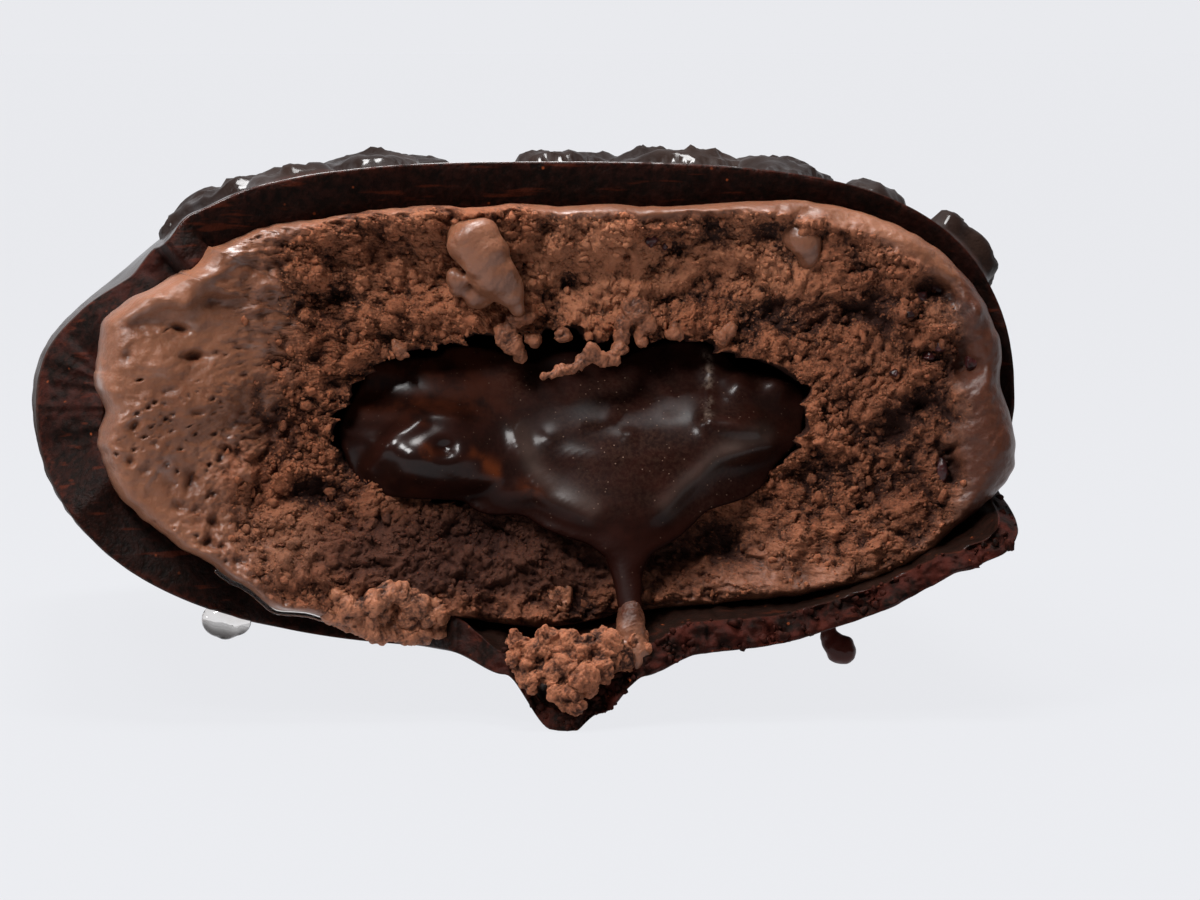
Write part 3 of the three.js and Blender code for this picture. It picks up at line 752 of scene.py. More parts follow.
# Knobs that stand out between them, in the same way.
BULGES = [
    (-8.6, 22.3, 1.3, 0.7, 0.8), (-18.6, 21.2, 1.6, 0.8, 0.5), (-8.2, 18.3, 0.9, 0.35, 0.6),
    (13.6, 9.1, 0.8, 0.9, 0.9), (18.8, 20.3, 0.8, 0.7, 0.9), (-11.4, 10.3, 1.5, 0.8, 0.7),
    (-18.3, 21.9, 0.9, 0.5, 0.5), (-15.8, 22.2, 0.8, 0.5, 0.4), (-14.6, 21.5, 0.7, 0.5, 0.4),
    (-12.4, 21.9, 0.8, 0.5, 0.6), (-11.4, 21.2, 0.6, 0.5, 0.6), (-13.2, 20.8, 0.6, 0.4, 0.4),
    (-16.9, 21.0, 0.8, 0.4, 0.4), (-10.6, 22.4, 0.7, 0.4, 0.5), (22.6, 20.2, 0.7, 0.6, 0.3),
    (16.2, 17.0, 1.2, 0.6, 0.6), (-7.0, 9.8, 1.6, 0.8, 0.6), (11.6, 11.8, 1.2, 0.8, 0.6),
    (15.6, 13.6, 1.4, 0.7, 0.6), (-13.6, 12.4, 1.6, 1.0, 0.4), (6.0, 20.6, 0.6, 1.3, 0.5),
]


def spots_on_the_face(spots, points):
    """Height of many oval spots with uneven outlines, and how far in a spot each point is."""
    loose = nudged(points, 0.7, 0.22, 240)
    total, cover = np.zeros(points.shape[:-1]), np.zeros(points.shape[:-1])
    for x, z, half_x, half_z, height in spots:
        spot = hump(loose[..., 0], loose[..., 2], x, z, half_x, half_z)
        total += height * spot
        cover = np.maximum(cover, spot)
    return total, cover


# Under the top of the rim the crumbs are wet, and a patch of them is lighter: x, z, half width and half
# height.
WET_UNDER_RIM = (3.0, 22.3, 8.0, 2.4)
PALE_UNDER_RIM = (3.0, 21.5, 4.0, 2.5)


def crumbly_part(points, loose, balls):
    """Crumbly ice cream: how far it stands out, its height among its neighbours, how wet it is."""
    x, z = points[..., 0], points[..., 2]
    clumps, crumbs, fine = balls
    swells = 1.0 * layered(loose, 4.2, 3) + 0.5 * layered(loose, 1.7, 8, 2)
    sponge = layered(loose, 0.9, 36, 4, 0.75)
    wet = smooth(0.0, 0.5, 0.6 * noise(points, 3.0, 41) + 0.8 * hump(x, z, *WET_UNDER_RIM))
    relief = swells + 0.4 * clumps + mix(0.24, 0.15, wet) * crumbs + mix(0.15, 0.06, wet) * fine
    relief += mix(0.5, 0.3, wet) * sponge - 0.55
    # The height only colours the ice cream: tops are painted lighter, as painted light, and clefts darker,
    # as painted shade.
    height = 0.3 * clumps + 0.25 * crumbs + 0.2 * fine + 0.5 * sponge + 0.35 * swells + 0.08
    height += 0.26 * hump(x, z, *PALE_UNDER_RIM)
    return np.stack([relief, height, wet])


def melted_part(points, loose, balls):
    """The same for melted ice cream: foamy beside the crumbs at the left, calm at the right."""
    x, z = points[..., 0], points[..., 2]
    _, crumbs, fine = balls
    flat = loose * [1, 0, 1]
    burst = np.maximum(bubbles(flat, 1.2, 130, 0.27, 0.25), bubbles(flat, 0.55, 140, 0.18, 0.5))
    burst = np.maximum(burst, 0.35 * bubbles(flat, 0.34, 145, 0.12, 0.5))
    foamy = smooth(-4.5, 0.0, x - melted_up_to(z)) * (x < 0)
    calm = smooth(8.0, 18.0, x)
    burst = burst * smooth(0.0, 0.45, noise(points, 2.2, 150) + 0.55 * foamy) * (1 - 0.85 * calm)
    wrinkles = layered(loose, 1.1, 52, 3, 0.6) * (1 - 0.6 * calm)
    ripples = noise(loose, 0.32, 56)
    froth, coarser_froth = layered(loose, 0.6, 58, 4, 0.8), layered(loose, 0.6, 58, 3, 0.7)
    relief = 0.3 * layered(points, 3.2, 50, 2) + 0.2 * noise(loose, 1.5, 54) + 0.16 * wrinkles
    relief += 0.05 * ripples - 0.28 * burst + foamy * (0.3 * froth + 0.16 * crumbs + 0.12 * fine)
    # Painted light and shade here too: wrinkle ridges lighter, burst pits darker, and the right end of the
    # rim painted darker as painted shade.
    height = 0.66 + 0.3 * wrinkles + 0.1 * ripples - 0.5 * burst
    height += 0.25 * foamy * (coarser_froth - 0.1) - 0.6 * smooth(20.6, 22.6, x)
    shine = 0.5 * smooth(0.1, 0.5, layered(points, 1.1, 44, 3)) * (1 - calm)
    return np.stack([relief, height, shine])


def face_relief(points, melted):
    """Relief, height and wetness of the whole face, with its pits and bulges."""
    loose = nudged(nudged(points, 2.2, 0.45, 100), 0.8, 0.16, 105)
    balls = [grains(loose, size, seed) for size, seed in ((1.5, 12), (0.6, 20), (0.3, 30))]
    parts = crumbly_part(points, loose, balls), melted_part(points, loose, balls)
    relief, height, wet = mix(*parts, melted)
    pits, in_pit = spots_on_the_face(PITS, points)
    bulges, on_bulge = spots_on_the_face(BULGES, points)
    relief += bulges - pits
    # Bulges are painted lighter, as painted light, and pits darker, as painted shade.
    height += mix(0.2, 0.0, melted) * on_bulge - mix(0.6, 0.3, melted) * in_pit
    return relief, np.clip(height, 0, 1), wet


CORE_SQUARENESS = 2.4


def tunnel_reach(angle):
    """From the middle of the tunnel to its wall."""
    return oval_reach(angle, CORE_HALF_WIDTH, CORE_HALF_HEIGHT, CORE_SQUARENESS)


def core_point(reach, angle, y):
    """A point in the tunnel at a reach from its middle."""
    x, z = CORE_X + reach * np.cos(angle), CORE_Z + reach * np.sin(angle)
    return np.stack([x, y + 0 * x, z + 0 * x], -1)


tunnel_sides = tunnel_reach(four_ways)
print("tunnel's reach to the right, top, left and bottom:", tunnel_sides.round(1))

# %% [markdown]
# The grid of the face starts on the rim, turns over its rounding and runs in to the mouth
# of the tunnel. Its heights are added after that, so that the rim stays where the shell
# needs it.

# %% Ice cream: the face
def rim_line(angle):
    """The rim of the bitten face, where the side of the ice cream turns into it."""
    inset = around(SHELL_THICKNESS, angle) + TOUCH
    at = outline_point(angle, 0.0)
    sag = humps(at[:, 0], at[:, 2], RIM_SAG)
    uneven = jagged(at, (2.2, 0.6), (0.16, 0.06), 64) + sag + around(RIM_SPILL, angle)
    return skin_point(angle, around(RIM_DEPTH, angle), inset - uneven + RIM_CLEARANCE)


def face_grid():
    """The face before its relief: points, share of the way out, distance from the rim, the mouth."""
    angle = directions(FACE_COLUMNS)
    rim, rounding = rim_line(angle), around(RIM_ROUND, angle)
    core_angle = np.arctan2(rim[:, 2] - CORE_Z, rim[:, 0] - CORE_X)
    ragged = 0.5 * noise(rim, 3.0, 62) + 0.55 * (grains(rim, 1.6, 66) - 0.5)
    reach = tunnel_reach(core_angle) + ragged
    mouth = core_point(reach, core_angle, 0.0)
    width = np.linalg.norm((rim - mouth)[:, [0, 2]], axis=-1)
    steps = np.linspace(0, 1, FACE_RINGS)[:, None]
    steps = mix(steps, steps**1.5, 0.4)  # rings closer together at the rim
    flat = rim + (mouth - rim) * steps[..., None]
    x, z = flat[..., 0], flat[..., 2]
    from_rim = steps * width
    share = 1 - from_rim / (width + reach)
    turned = np.sqrt(np.clip(1 - (1 - np.clip(from_rim / rounding, 0, 1)) ** 2, 0, 1))
    y = mix(rim[:, 1], face_depth(x, z, share) - 0.5 * rounding, turned)
    return np.stack([x, y, z], -1), share, from_rim, core_angle, reach


def painted_shade_share(points, melted):
    """Where the face is painted darker as painted shade: most under the fudge's overhang, a little at the
    right end.
    """
    x, z = points[..., 0], points[..., 2]
    under_fudge = np.clip(1.5 * hump(x, z, -1.0, 8.6, 11.5, 2.8), 0, 1)
    return np.maximum(under_fudge, 0.35 * smooth(13.0, 18.0, x)) * (1 - melted)


face, share, from_rim, core_angle, mouth_reach = face_grid()
melted = melted_share(face, share)
relief, height, wet = face_relief(face, melted)
stained = painted_shade_share(face, melted)
face[..., 1] -= relief * smooth(0.0, mix(0.3, 0.6, melted), from_rim)
# Moved sideways as well, so that the crumbs lose the straight lines of the grid.
swing = 0.12 * smooth(0.0, 0.8, from_rim) * (1 - melted)
for axis, seed in ((0, 70), (2, 72)):
    face[..., axis] += swing * noise(face, 0.35, seed)
print("face reaches from", face[..., 1].min().round(1), "to", face[..., 1].max().round(1), "mm")

# %% [markdown]
# Behind the face the ice cream fills the shell, with the tunnel of the fudge in it. These
# sides hardly show, so their rings have a quarter of the points.

# %% Ice cream: the whole body
TUNNEL_RINGS = (0.5, 1.1, 1.8, 2.6, 3.5, 4.6, 6.0, 8.0, 11.0, 15.0, 30.0, CORE_BACK - 3.0)
LEVEL_BEHIND = 6.0  # further in, the rings of the tunnel no longer follow the mouth


def tunnel_walls():
    """Rings from the mouth into the tunnel: rough near the bite and plain further in."""
    every = FACE_COLUMNS // SIDE_COLUMNS
    turn, reach, start = core_angle[::every], mouth_reach[::every], face[-1, ::every, 1]
    walls = []
    for behind in TUNNEL_RINGS:
        y = start + behind
        if behind > LEVEL_BEHIND:
            y = np.maximum(y, behind)
        settled = smooth(0.0, 9.0, behind)
        rough = 0.5 * (grains(core_point(reach, turn, y), 1.2, 90) - 0.5) * (1 - settled)
        walls.append(core_point(mix(reach, tunnel_reach(turn) + 0.3, settled) - rough, turn, y))
    return np.stack(walls)


def ice_cream_body():
    """Back end, sides, face and tunnel as one closed surface."""
    angle = directions(SIDE_COLUMNS)
    inset = around(SHELL_THICKNESS, angle) + TOUCH
    rim = around(RIM_DEPTH, angle)
    depths = side_depths(rim, straight=22, rounded=5, crowd=1.9)[1:]
    every_angle, every_inset = (np.broadcast_to(row, depths.shape) for row in (angle, inset))
    sides = skin_point(every_angle, depths, every_inset)
    bumpy = 0.1 * layered(sides, 1.8, 80) * smooth(0.0, 1.0, depths - rim) - 0.1
    sides = sides + outward_at(angle, 0 * angle)[None] * bumpy[..., None]
    blocks = [sides[::-1], face, tunnel_walls()]
    back = [CENTRE_X, BACK_END - BACK_WALL - TOUCH, CENTRE_Z]
    points, faces = loft(back, blocks, [CORE_X, CORE_BACK - 2.0, CORE_Z])
    values = {
        # The sides and the tunnel have fixed values; the tunnel's wall is painted darker, as painted
        # shade.
        "melted": spread(blocks, (1, melted, 0)),
        "height": spread(blocks, (0.6, height, 0.3)),
        "wet": spread(blocks, (0, wet, 0)),
        "stained": spread(blocks, (0, stained, 1)),
    }
    return new_piece("ice_cream_body", points, faces, values)


ice_cream = ice_cream_body()
dress(ice_cream, "ice_cream")

# %% [markdown]
# Heights alone cannot overhang, and real crumbs do. So loose crumbs are set on the face,
# half sunk in it, in clusters, and thousands of sandy grains between them. All are
# uneven balls, few triangles each, and each kind is one mesh.

# %% Ice cream: loose crumbs and sandy grains
draw = np.random.default_rng(41)


def crumb_places(count, clustered):
    """Places on the crumbly part of the face, one row and column each."""
    weight = (1 - melted) ** 2 * from_rim[-1][None] * smooth(0.15, 0.7, from_rim)
    clusters = smooth(-0.5, 0.7, jagged(face, (1.6, 0.7), (1.0, 0.5), 150))
    weight *= mix(1.0, clusters, clustered)
    flat = (weight / weight.sum()).ravel()
    return np.unravel_index(draw.choice(flat.size, count, p=flat), weight.shape)


def scattered_on_face(name, count, ball, smallest, spread_of_sizes, clustered):
    """Balls half sunk in the face, with the values of the place where each one sits."""
    row, column = crumb_places(count, clustered)
    radius = smallest + spread_of_sizes * draw.random(len(row)) ** 2.7
    lift = draw.uniform(-0.5, 0.4, len(row)) * radius
    middles = face[row, column] - np.stack([0 * lift, lift, 0 * lift], -1)
    radii = radius[:, None] * draw.uniform(0.65, 1.4, (len(row), 3))
    points, faces = scattered_balls(ball, middles, radii, 0.8, 160)
    # A crumb is painted lighter than its place, as painted light on what stands out, with random tone.
    lighter = height[row, column] + draw.uniform(-0.1, 0.45, len(row))
    each = {"height": np.clip(lighter, 0, 1.2), "wet": wet[row, column], "stained": stained[row, column]}
    values = {key: np.repeat(value, len(ball[0])) for key, value in each.items()} | {"melted": 0}
    return new_piece(name, points, faces, values)


crumbs = scattered_on_face(
    "loose_crumbs", 2000, BALL_80, smallest=0.06, spread_of_sizes=0.17, clustered=1.0
)
sand = scattered_on_face(
    "sandy_grains", 9500, BALL_20, smallest=0.045, spread_of_sizes=0.05, clustered=0.4
)
for piece in (crumbs, sand):
    dress(piece, "ice_cream")

# %% [markdown]
# Where the ice cream melted it ran down in drips, hung over the fudge in strings and
# sagged over the shell's edge in a lip. Those are knobs in one skin. Small grains are
# laid on afterwards, along the normals.

# %% Ice cream: knobs in one skin
KNOB_SHAPE = np.array([1.0, 0.9, 1.0])  # a little flatter towards the bite


def knobs(name, balls, voxel, uneven, grain, melt, seed, rounds, **more):
    """Knobs [x, y, z, radius] grown into one skin, with grains on it; more are further values."""
    balls = np.array(balls, float)
    radii = balls[:, 3:] * KNOB_SHAPE
    points, faces = scattered_balls(BALL_320, balls[:, :3], radii, uneven, seed)
    points, faces = one_skin(points, faces, voxel)
    points = smoothed(points, faces, rounds)
    loose = nudged(nudged(points, 0.9, 0.4, seed + 10), 0.35, 0.16, seed + 13)
    height = 0.26 * grains(loose, 0.9, seed + 20) + 0.2 * grains(loose, 0.5, seed + 30)
    height += 0.18 * grains(loose, 0.28, seed + 35)
    height += 0.7 * (0.25 + layered(loose, 0.6, seed + 50, 4, 0.7))
    lift = grain * (height - 0.4 + 0.5 * noise(loose, 1.1, seed + 40))
    points = points + normals_of(points, faces) * lift[:, None]
    # The grains' heights colour the knob: painted light on tops, painted shade in clefts; melted knobs are
    # evened out.
    values = {"melted": melt, "height": mix(height, 0.75, melt), "wet": 0.2}
    return new_piece(name, points, faces, values | more)


print("a knob with a radius of 1 mm measures, in mm:", 2 * KNOB_SHAPE)

# %% Ice cream: drips, strings and the lip
DRIPS = [
    (-3.0, 0.7, 24.2, 0.9), (-2.5, 0.1, 23.9, 1.35), (-2.0, 0.0, 23.2, 1.3), (-1.5, 0.1, 22.4, 1.15),
    (-1.0, 0.3, 21.8, 0.95), (-0.6, 0.3, 21.3, 0.7), (-0.3, 0.5, 20.6, 0.5), (-3.3, 0.7, 22.1, 0.6),
    (-3.3, 0.9, 21.5, 0.42), (-2.2, 1.2, 21.3, 0.8), (13.6, 0.9, 24.2, 0.8), (14.1, 0.6, 23.9, 0.9),
    (14.3, 0.8, 23.3, 0.7), (14.2, 1.1, 22.8, 0.5),
]
STRINGS = [
    (1.0, -0.1, 17.25, 0.2), (1.35, -0.05, 17.35, 0.25), (1.7, 0.0, 17.5, 0.27), (2.05, 0.1, 17.55, 0.3),
    (2.4, 0.2, 17.65, 0.27), (2.75, 0.3, 17.85, 0.33), (3.05, 0.3, 18.15, 0.36), (3.3, 0.3, 18.45, 0.4),
    (3.7, 0.4, 18.1, 0.36), (4.1, 0.5, 17.95, 0.36), (4.5, 0.6, 18.15, 0.36), (4.8, 0.8, 18.6, 0.36),
    (5.0, 1.0, 19.2, 0.4), (5.15, 1.2, 19.8, 0.45), (-0.9, 1.2, 19.4, 0.6), (-0.5, 1.3, 18.8, 0.45),
    (-0.1, 1.4, 18.3, 0.3), (-0.1, 1.3, 20.2, 0.6), (5.6, 1.2, 20.4, 0.6), (6.1, 1.3, 19.8, 0.5),
    (5.9, 1.4, 19.1, 0.36), (10.0, 1.5, 19.2, 0.42), (10.4, 1.6, 19.5, 0.35), (0.6, 1.5, 19.1, 0.4),
    (7.7, 1.8, 19.4, 0.45), (2.0, 1.6, 19.3, 0.4), (-6.0, 1.8, 18.6, 0.5), (12.5, 1.6, 18.9, 0.4),
]
LIP = [
    (-10.6, 0.9, 7.1, 0.7), (-10.0, 0.5, 6.5, 0.75), (-9.4, 0.2, 5.9, 0.75), (-8.7, 0.1, 5.35, 0.7),
    (-8.0, 0.0, 5.0, 0.65), (-7.3, 0.0, 4.8, 0.6), (-6.6, 0.1, 4.75, 0.6), (-5.9, 0.1, 4.7, 0.6),
    (-5.2, 0.2, 4.8, 0.6), (-4.5, 0.3, 5.0, 0.6), (-3.9, 0.5, 5.4, 0.6), (-9.7, -0.2, 6.9, 0.55),
    (-9.2, -0.4, 6.5, 0.5), (-8.7, -0.6, 6.1, 0.5), (-8.1, -0.7, 6.0, 0.55), (-7.5, -0.8, 6.2, 0.55),
    (-6.9, -0.8, 6.5, 0.6), (-6.3, -0.8, 6.6, 0.6), (-5.7, -0.7, 6.3, 0.55), (-5.1, -0.6, 6.0, 0.55),
    (-4.6, -0.4, 5.7, 0.5), (-4.1, -0.1, 5.7, 0.5), (-8.4, 0.2, 6.0, 1.0), (-7.0, 0.2, 5.8, 1.0),
    (-5.6, 0.3, 5.6, 0.9), (-4.6, 0.5, 5.9, 0.8), (-9.4, 0.5, 6.9, 0.8), (-7.8, 0.5, 6.9, 0.9),
    (-6.2, 0.5, 6.8, 0.9), (-3.4, 0.8, 6.3, 0.6), (-7.6, -0.6, 5.4, 0.35), (-5.0, -0.5, 5.3, 0.35),
    (-6.2, -0.6, 5.3, 0.3), (-8.9, -0.3, 5.6, 0.35), (1.75, 0.9, 6.3, 0.6), (1.8, 0.7, 5.7, 0.35),
]
drips = knobs("drips", DRIPS, voxel=0.08, uneven=0.2, grain=0.05, melt=0.92, seed=200, rounds=40)
strings = knobs("strings", STRINGS, voxel=0.055, uneven=0.5, grain=0.2, melt=0.3, seed=260, rounds=9)
lip = knobs("lip", LIP, voxel=0.08, uneven=0.5, grain=0.3, melt=0.08, seed=320, rounds=4, wet=0.7)
for piece in (drips, strings, lip):
    dress(piece, "ice_cream")

# %% [markdown]
# A crumb of ice cream fell onto the flake. On the real bar it is frozen knobs that stuck
# together, and the thread of fudge runs onto it over a melted stub. Both are made as the
# lip is, because that lets the knobs melt into each other.

# %% Ice cream: the fallen crumb and its stub
CRUMB = [
    (0.0, -3.9, 3.9, 1.05), (-0.3, -4.6, 3.0, 0.7), (-0.2, -4.9, 2.4, 0.5), (1.0, -3.9, 3.8, 1.1),
    (2.2, -4.2, 3.5, 1.15), (3.2, -3.8, 3.9, 1.0), (1.0, -4.8, 2.9, 0.9), (2.3, -5.0, 2.5, 0.75),
    (3.3, -4.6, 3.0, 0.6), (4.1, -3.9, 3.6, 0.7), (4.6, -3.6, 3.2, 0.45), (1.7, -5.4, 1.7, 0.5),
    (2.0, -5.6, 1.2, 0.32), (1.0, -5.2, 2.1, 0.45), (5.1, -3.2, 3.9, 0.6), (5.1, -3.1, 4.5, 0.5),
    (4.8, -3.3, 4.2, 0.45), (-0.9, -4.2, 4.4, 0.5), (-0.9, -4.4, 3.6, 0.45), (0.6, -4.5, 4.6, 0.5),
    (1.7, -4.6, 4.5, 0.45), (2.7, -4.4, 4.4, 0.45), (3.7, -4.3, 4.4, 0.35), (-0.1, -4.8, 3.9, 0.4),
]
# The melted stub, onto which the thread of fudge runs.
STUB = [
    (4.95, -2.3, 5.8, 0.58), (4.95, -2.5, 5.5, 0.64), (4.93, -2.8, 5.15, 0.7), (4.95, -3.0, 4.7, 0.74),
    (5.0, -3.1, 4.2, 0.78), (5.1, -3.2, 3.7, 0.76), (5.2, -3.2, 3.3, 0.62), (4.4, -3.4, 3.7, 0.6),
    (5.45, -3.3, 3.0, 0.35), (4.9, -3.4, 3.0, 0.4),
]


def stained_at_the_top(points):
    """The stub is coloured where the thread of fudge meets it."""
    return smooth(4.4, 5.7, points[:, 2])


fallen_crumb = knobs(
    "crumb_on_flake", CRUMB, voxel=0.06, uneven=0.5, grain=0.36, melt=0.04, seed=400, rounds=4
)
stub = knobs(
    "stub_on_crumb", STUB, voxel=0.05, uneven=0.25, grain=0.08, melt=0.8, seed=420, rounds=16,
    stained=stained_at_the_top,
)
for piece in (fallen_crumb, stub):
    dress(piece, "fallen_crumb")

# %% [markdown]
# The colour of chocolate ice cream is a milky brown. The finish paints it redder and darker
# in the clefts and pits, as painted shade, and lighter on grains and knobs that stand out,
# as painted light. Where it melted the bubbles are gone, so it is greyer, smoother and
# glossier. Under the fudge and at the right end it is painted darker, as painted shade.
# Some light passes under the surface, which softens the small shadows.

# %% Ice cream: finish
def ice_cream_finish():
    finish = Finish(
        "ice_cream_finish", IOR=1.3, Coat_Roughness=0.34,
        Subsurface_Weight=0.12, Subsurface_Radius=(1.0, 0.45, 0.25), Subsurface_Scale=0.4 * MM,
    )
    melted, height, wet = finish.stored("melted"), finish.stored("height"), finish.stored("wet")
    patchy, grain = finish.noise(3.5, 3.0), finish.noise(0.28, 4.0, 0.6)
    sandy = finish.noise(0.13, 2.0)
    # Painted light and shade: tops of grains are painted lighter and clefts darker, with random grain and
    # sand as tone.
    light = (height + 0.7 * (grain - 0.5) + 0.9 * (sandy - 0.5)).between(0.1, 0.94)
    crumbly = finish.blend(light, seen(38, 16, 8), seen(156, 95, 66))
    crumbly = finish.blend(patchy.between(0.45, 0.75) * 0.4, crumbly, seen(112, 58, 32))
    # Wet crumbs turn paler only where they are painted light.
    crumbly = finish.blend(wet * light * 0.6, crumbly, seen(178, 118, 86))
    soft = finish.blend(patchy.between(0.3, 0.7), seen(109, 68, 48), seen(133, 87, 64))
    # Painted shade: the hollows of melted ice cream are painted darker.
    painted_hollow_shade = 1 - (height + 0.5 * (grain - 0.5)).between(0.1, 0.6)
    soft = finish.blend(painted_hollow_shade, soft, seen(74, 40, 27))
    colour = finish.blend(melted, crumbly, soft)
    # Painted shade under the fudge and at the right end of the face; on the stub, the real colour of the
    # fudge that ran onto it.
    stained = finish.stored("stained")
    colour = finish.blend(stained * 0.9, colour, seen(50, 23, 14))
    coat = melted * (1 - stained) * (grain.between(0.25, 0.6) * 0.26 + wet * 2.2)
    finish.set(Base_Color=colour, Coat_Weight=coat)
    finish.set(Roughness=0.82 - 0.4 * melted - 0.22 * wet + 0.3 * (grain - 0.5))
    rough = finish.noise(0.2, 4.0, 0.7) * (1 - 0.85 * melted)
    finish.relief((rough, 0.16), (finish.noise(0.5, 3.0) * melted, 0.1))
    return finish


ice_cream_finish().on(ice_cream, crumbs, sand, drips, strings, lip, fallen_crumb, stub)

# %% [markdown]
# ## Chocolate shell
# The shell was snapped by the bite, so its front is a rough broken band as thick as the
# wall, set back at the left and bent down into a flake underneath. Its outside carries
# lumps: chopped bits that were coated together with the bar. They are lifted out of the
# same grid, so that the chocolate runs over them without a seam.

# %% Shell: lumps under the coating
SHELL_COLUMNS = 720
HIDDEN_COLUMNS = SHELL_COLUMNS // 2
# Big lumps that show over the bite: x, y and radius of each.
LUMPS_ON_TOP = [
    (-11.2, 1.6, 1.9), (-7.6, 5.5, 2.5), (-5.0, 10.5, 1.9), (3.4, 12.0, 2.3), (8.6, 9.0, 2.6),
    (13.6, 7.6, 2.4), (11.0, 15.5, 2.6), (-14.8, 9.5, 2.3),
]
# Lumps on the shoulders: degrees round the section, y and radius.
LUMPS_ON_SHOULDERS = [
    (30, 6.5, 1.5), (19, 4.0, 2.1), (38, 20.0, 1.7), (140, 27.0, 1.5), (12, 34.0, 1.5),
    (205, 47.0, 1.4),
]
# Rows of lumps on the rest of the top, two to a row, at random places and of random sizes.
FIELD_SEED, FIELD_ROWS, FIELD_FRONT, FIELD_SPACING = 23, 6, 22.0, 6.7
LUMP_HEIGHT = 0.6  # as a share of the radius, on top
DOME_REACH = 1.12  # the coating runs out a little beside the lump


def drawn(i, j, k, seed):
    """One number of the lattice."""
    return float(hashed(np.array(i), np.array(j), np.array(k), seed))


def coated_lumps():
    """Each lump: its middle, its half sizes along its own axes, and its turn about Z."""
    arc = np.linspace(0.02, np.pi - 0.02, 400)  # the top half of the section
    top = outline_point(arc, 0.0)
    flat_lumps = [(x, y, radius, 40 + i) for i, (x, y, radius) in enumerate(LUMPS_ON_TOP)]
    for row, side in itertools.product(range(FIELD_ROWS), (-1, 1)):
        x = side * mix(1.5, 15.0, drawn(row, side, 1, FIELD_SEED))
        y = FIELD_FRONT + row * FIELD_SPACING + mix(-2.5, 2.5, drawn(row, side, 2, FIELD_SEED))
        flat_lumps.append((x, y, mix(1.3, 2.5, drawn(row, side, 3, FIELD_SEED)), 60 + row * 2 + side))
    lumps = []
    for x, y, radius, seed in flat_lumps:
        longer = mix(1.0, 1.5, drawn(seed, 1, 1, FIELD_SEED))
        middle = np.array([x, y, np.interp(-x, -top[:, 0], top[:, 2])])
        half = radius * np.array([longer, 0.85, LUMP_HEIGHT])
        lumps.append((middle, half, drawn(seed, 3, 5, 9) * 2 * np.pi))
    for degrees, y, radius in LUMPS_ON_SHOULDERS:
        middle = skin_point(np.radians(degrees), np.float64(y), 0.0)
        lumps.append((middle, radius * np.array([1.0, 1.0, 0.9]), 0.0))
    return lumps


def lump_height(points):
    """How far the coating stands out over the lumps."""
    total = np.zeros(points.shape[:-1])
    ragged = nudged(nudged(points, 1.5, 0.6, 500), 0.5, 0.18, 505)
    for middle, half, turn in coated_lumps():
        near = np.abs(points[..., 1] - middle[1]) < 1.6 * half.max()
        off = ragged[near] - middle
        along = off[:, 0] * np.cos(turn) + off[:, 1] * np.sin(turn)
        across = off[:, 1] * np.cos(turn) - off[:, 0] * np.sin(turn)
        sizes = ((along, half[0]), (across, half[1]), (off[:, 2], half.max()))
        reach = np.sqrt(sum((distance / size) ** 2 for distance, size in sizes))
        dome = np.sqrt(np.clip(1 - (reach / DOME_REACH) ** 2, 0, 1)) ** 0.8
        total[near] = np.maximum(total[near], dome * half[2])
    crags = 0.62 + 0.25 * noise(ragged, 1.4, 510)
    crags += 0.18 * noise(ragged, 0.6, 512) + 0.06 * noise(ragged, 0.25, 513)
    return total * crags


print("coated lumps:", len(coated_lumps()))

# %% [markdown]
# Chocolate snaps like glass: its edge runs in and out, and the broken band is rough where
# the wall is thick. Large steps of the edge come from the table, and noise makes the
# small teeth.

# %% Shell: its broken edge
# How rough the broken edge and band are.
SNAP_ROUGHNESS = [
    (0, 0.3), (90, 0.15), (150, 0.15), (160, 0.8), (180, 0.8), (190, 0.2), (200, 0.08), (245, 0.08),
    (262, 1.1), (300, 1.5), (345, 1.5),
]
# The broken band's thickness, as a share of the wall's.
EDGE_THINNED = [(0, 1), (252, 1), (262, 0.7), (310, 0.8), (345, 0.9), (352, 1)]


def bent_out(angle, behind_edge):
    """How far the shell is bent away from the bar, less and less behind its edge."""
    return around(SHELL_FLARE, angle) * (1 - smooth(0.0, FLARE_LENGTH, behind_edge)) ** 1.3


def broken_edge(angle):
    """Where the outside of the shell ends."""
    fine = jagged(outline_point(angle, 0.0), (1.6, 0.5, 0.2), (0.3, 0.16, 0.07), 520)
    return around(SHELL_BROKEN_EDGE, angle) + fine * around(SNAP_ROUGHNESS, angle)


def shell_block(angle, y, depth, edge):
    """Points at a depth under the outside, bent with the flake."""
    angle = np.broadcast_to(angle, y.shape)
    depth = np.broadcast_to(depth, y.shape)
    bent = bent_out(angle, np.maximum(y - edge, 0))
    return skin_point(angle, y, depth) + outward_at(angle, y) * bent[..., None]


print("tip of the flake at y =", broken_edge(np.radians(np.arange(262.0, 290.0))).min().round(1))

# %% [markdown]
# The shell is one loft from the back end along the outside to the edge, through the
# broken band, and back along the inside. Only the front needs fine rings.

# %% Shell: outside, broken band and inside
FINE_BEHIND, COARSE_BEHIND = 8.5, 9.0  # fine rings end and coarse ones start, behind the edge


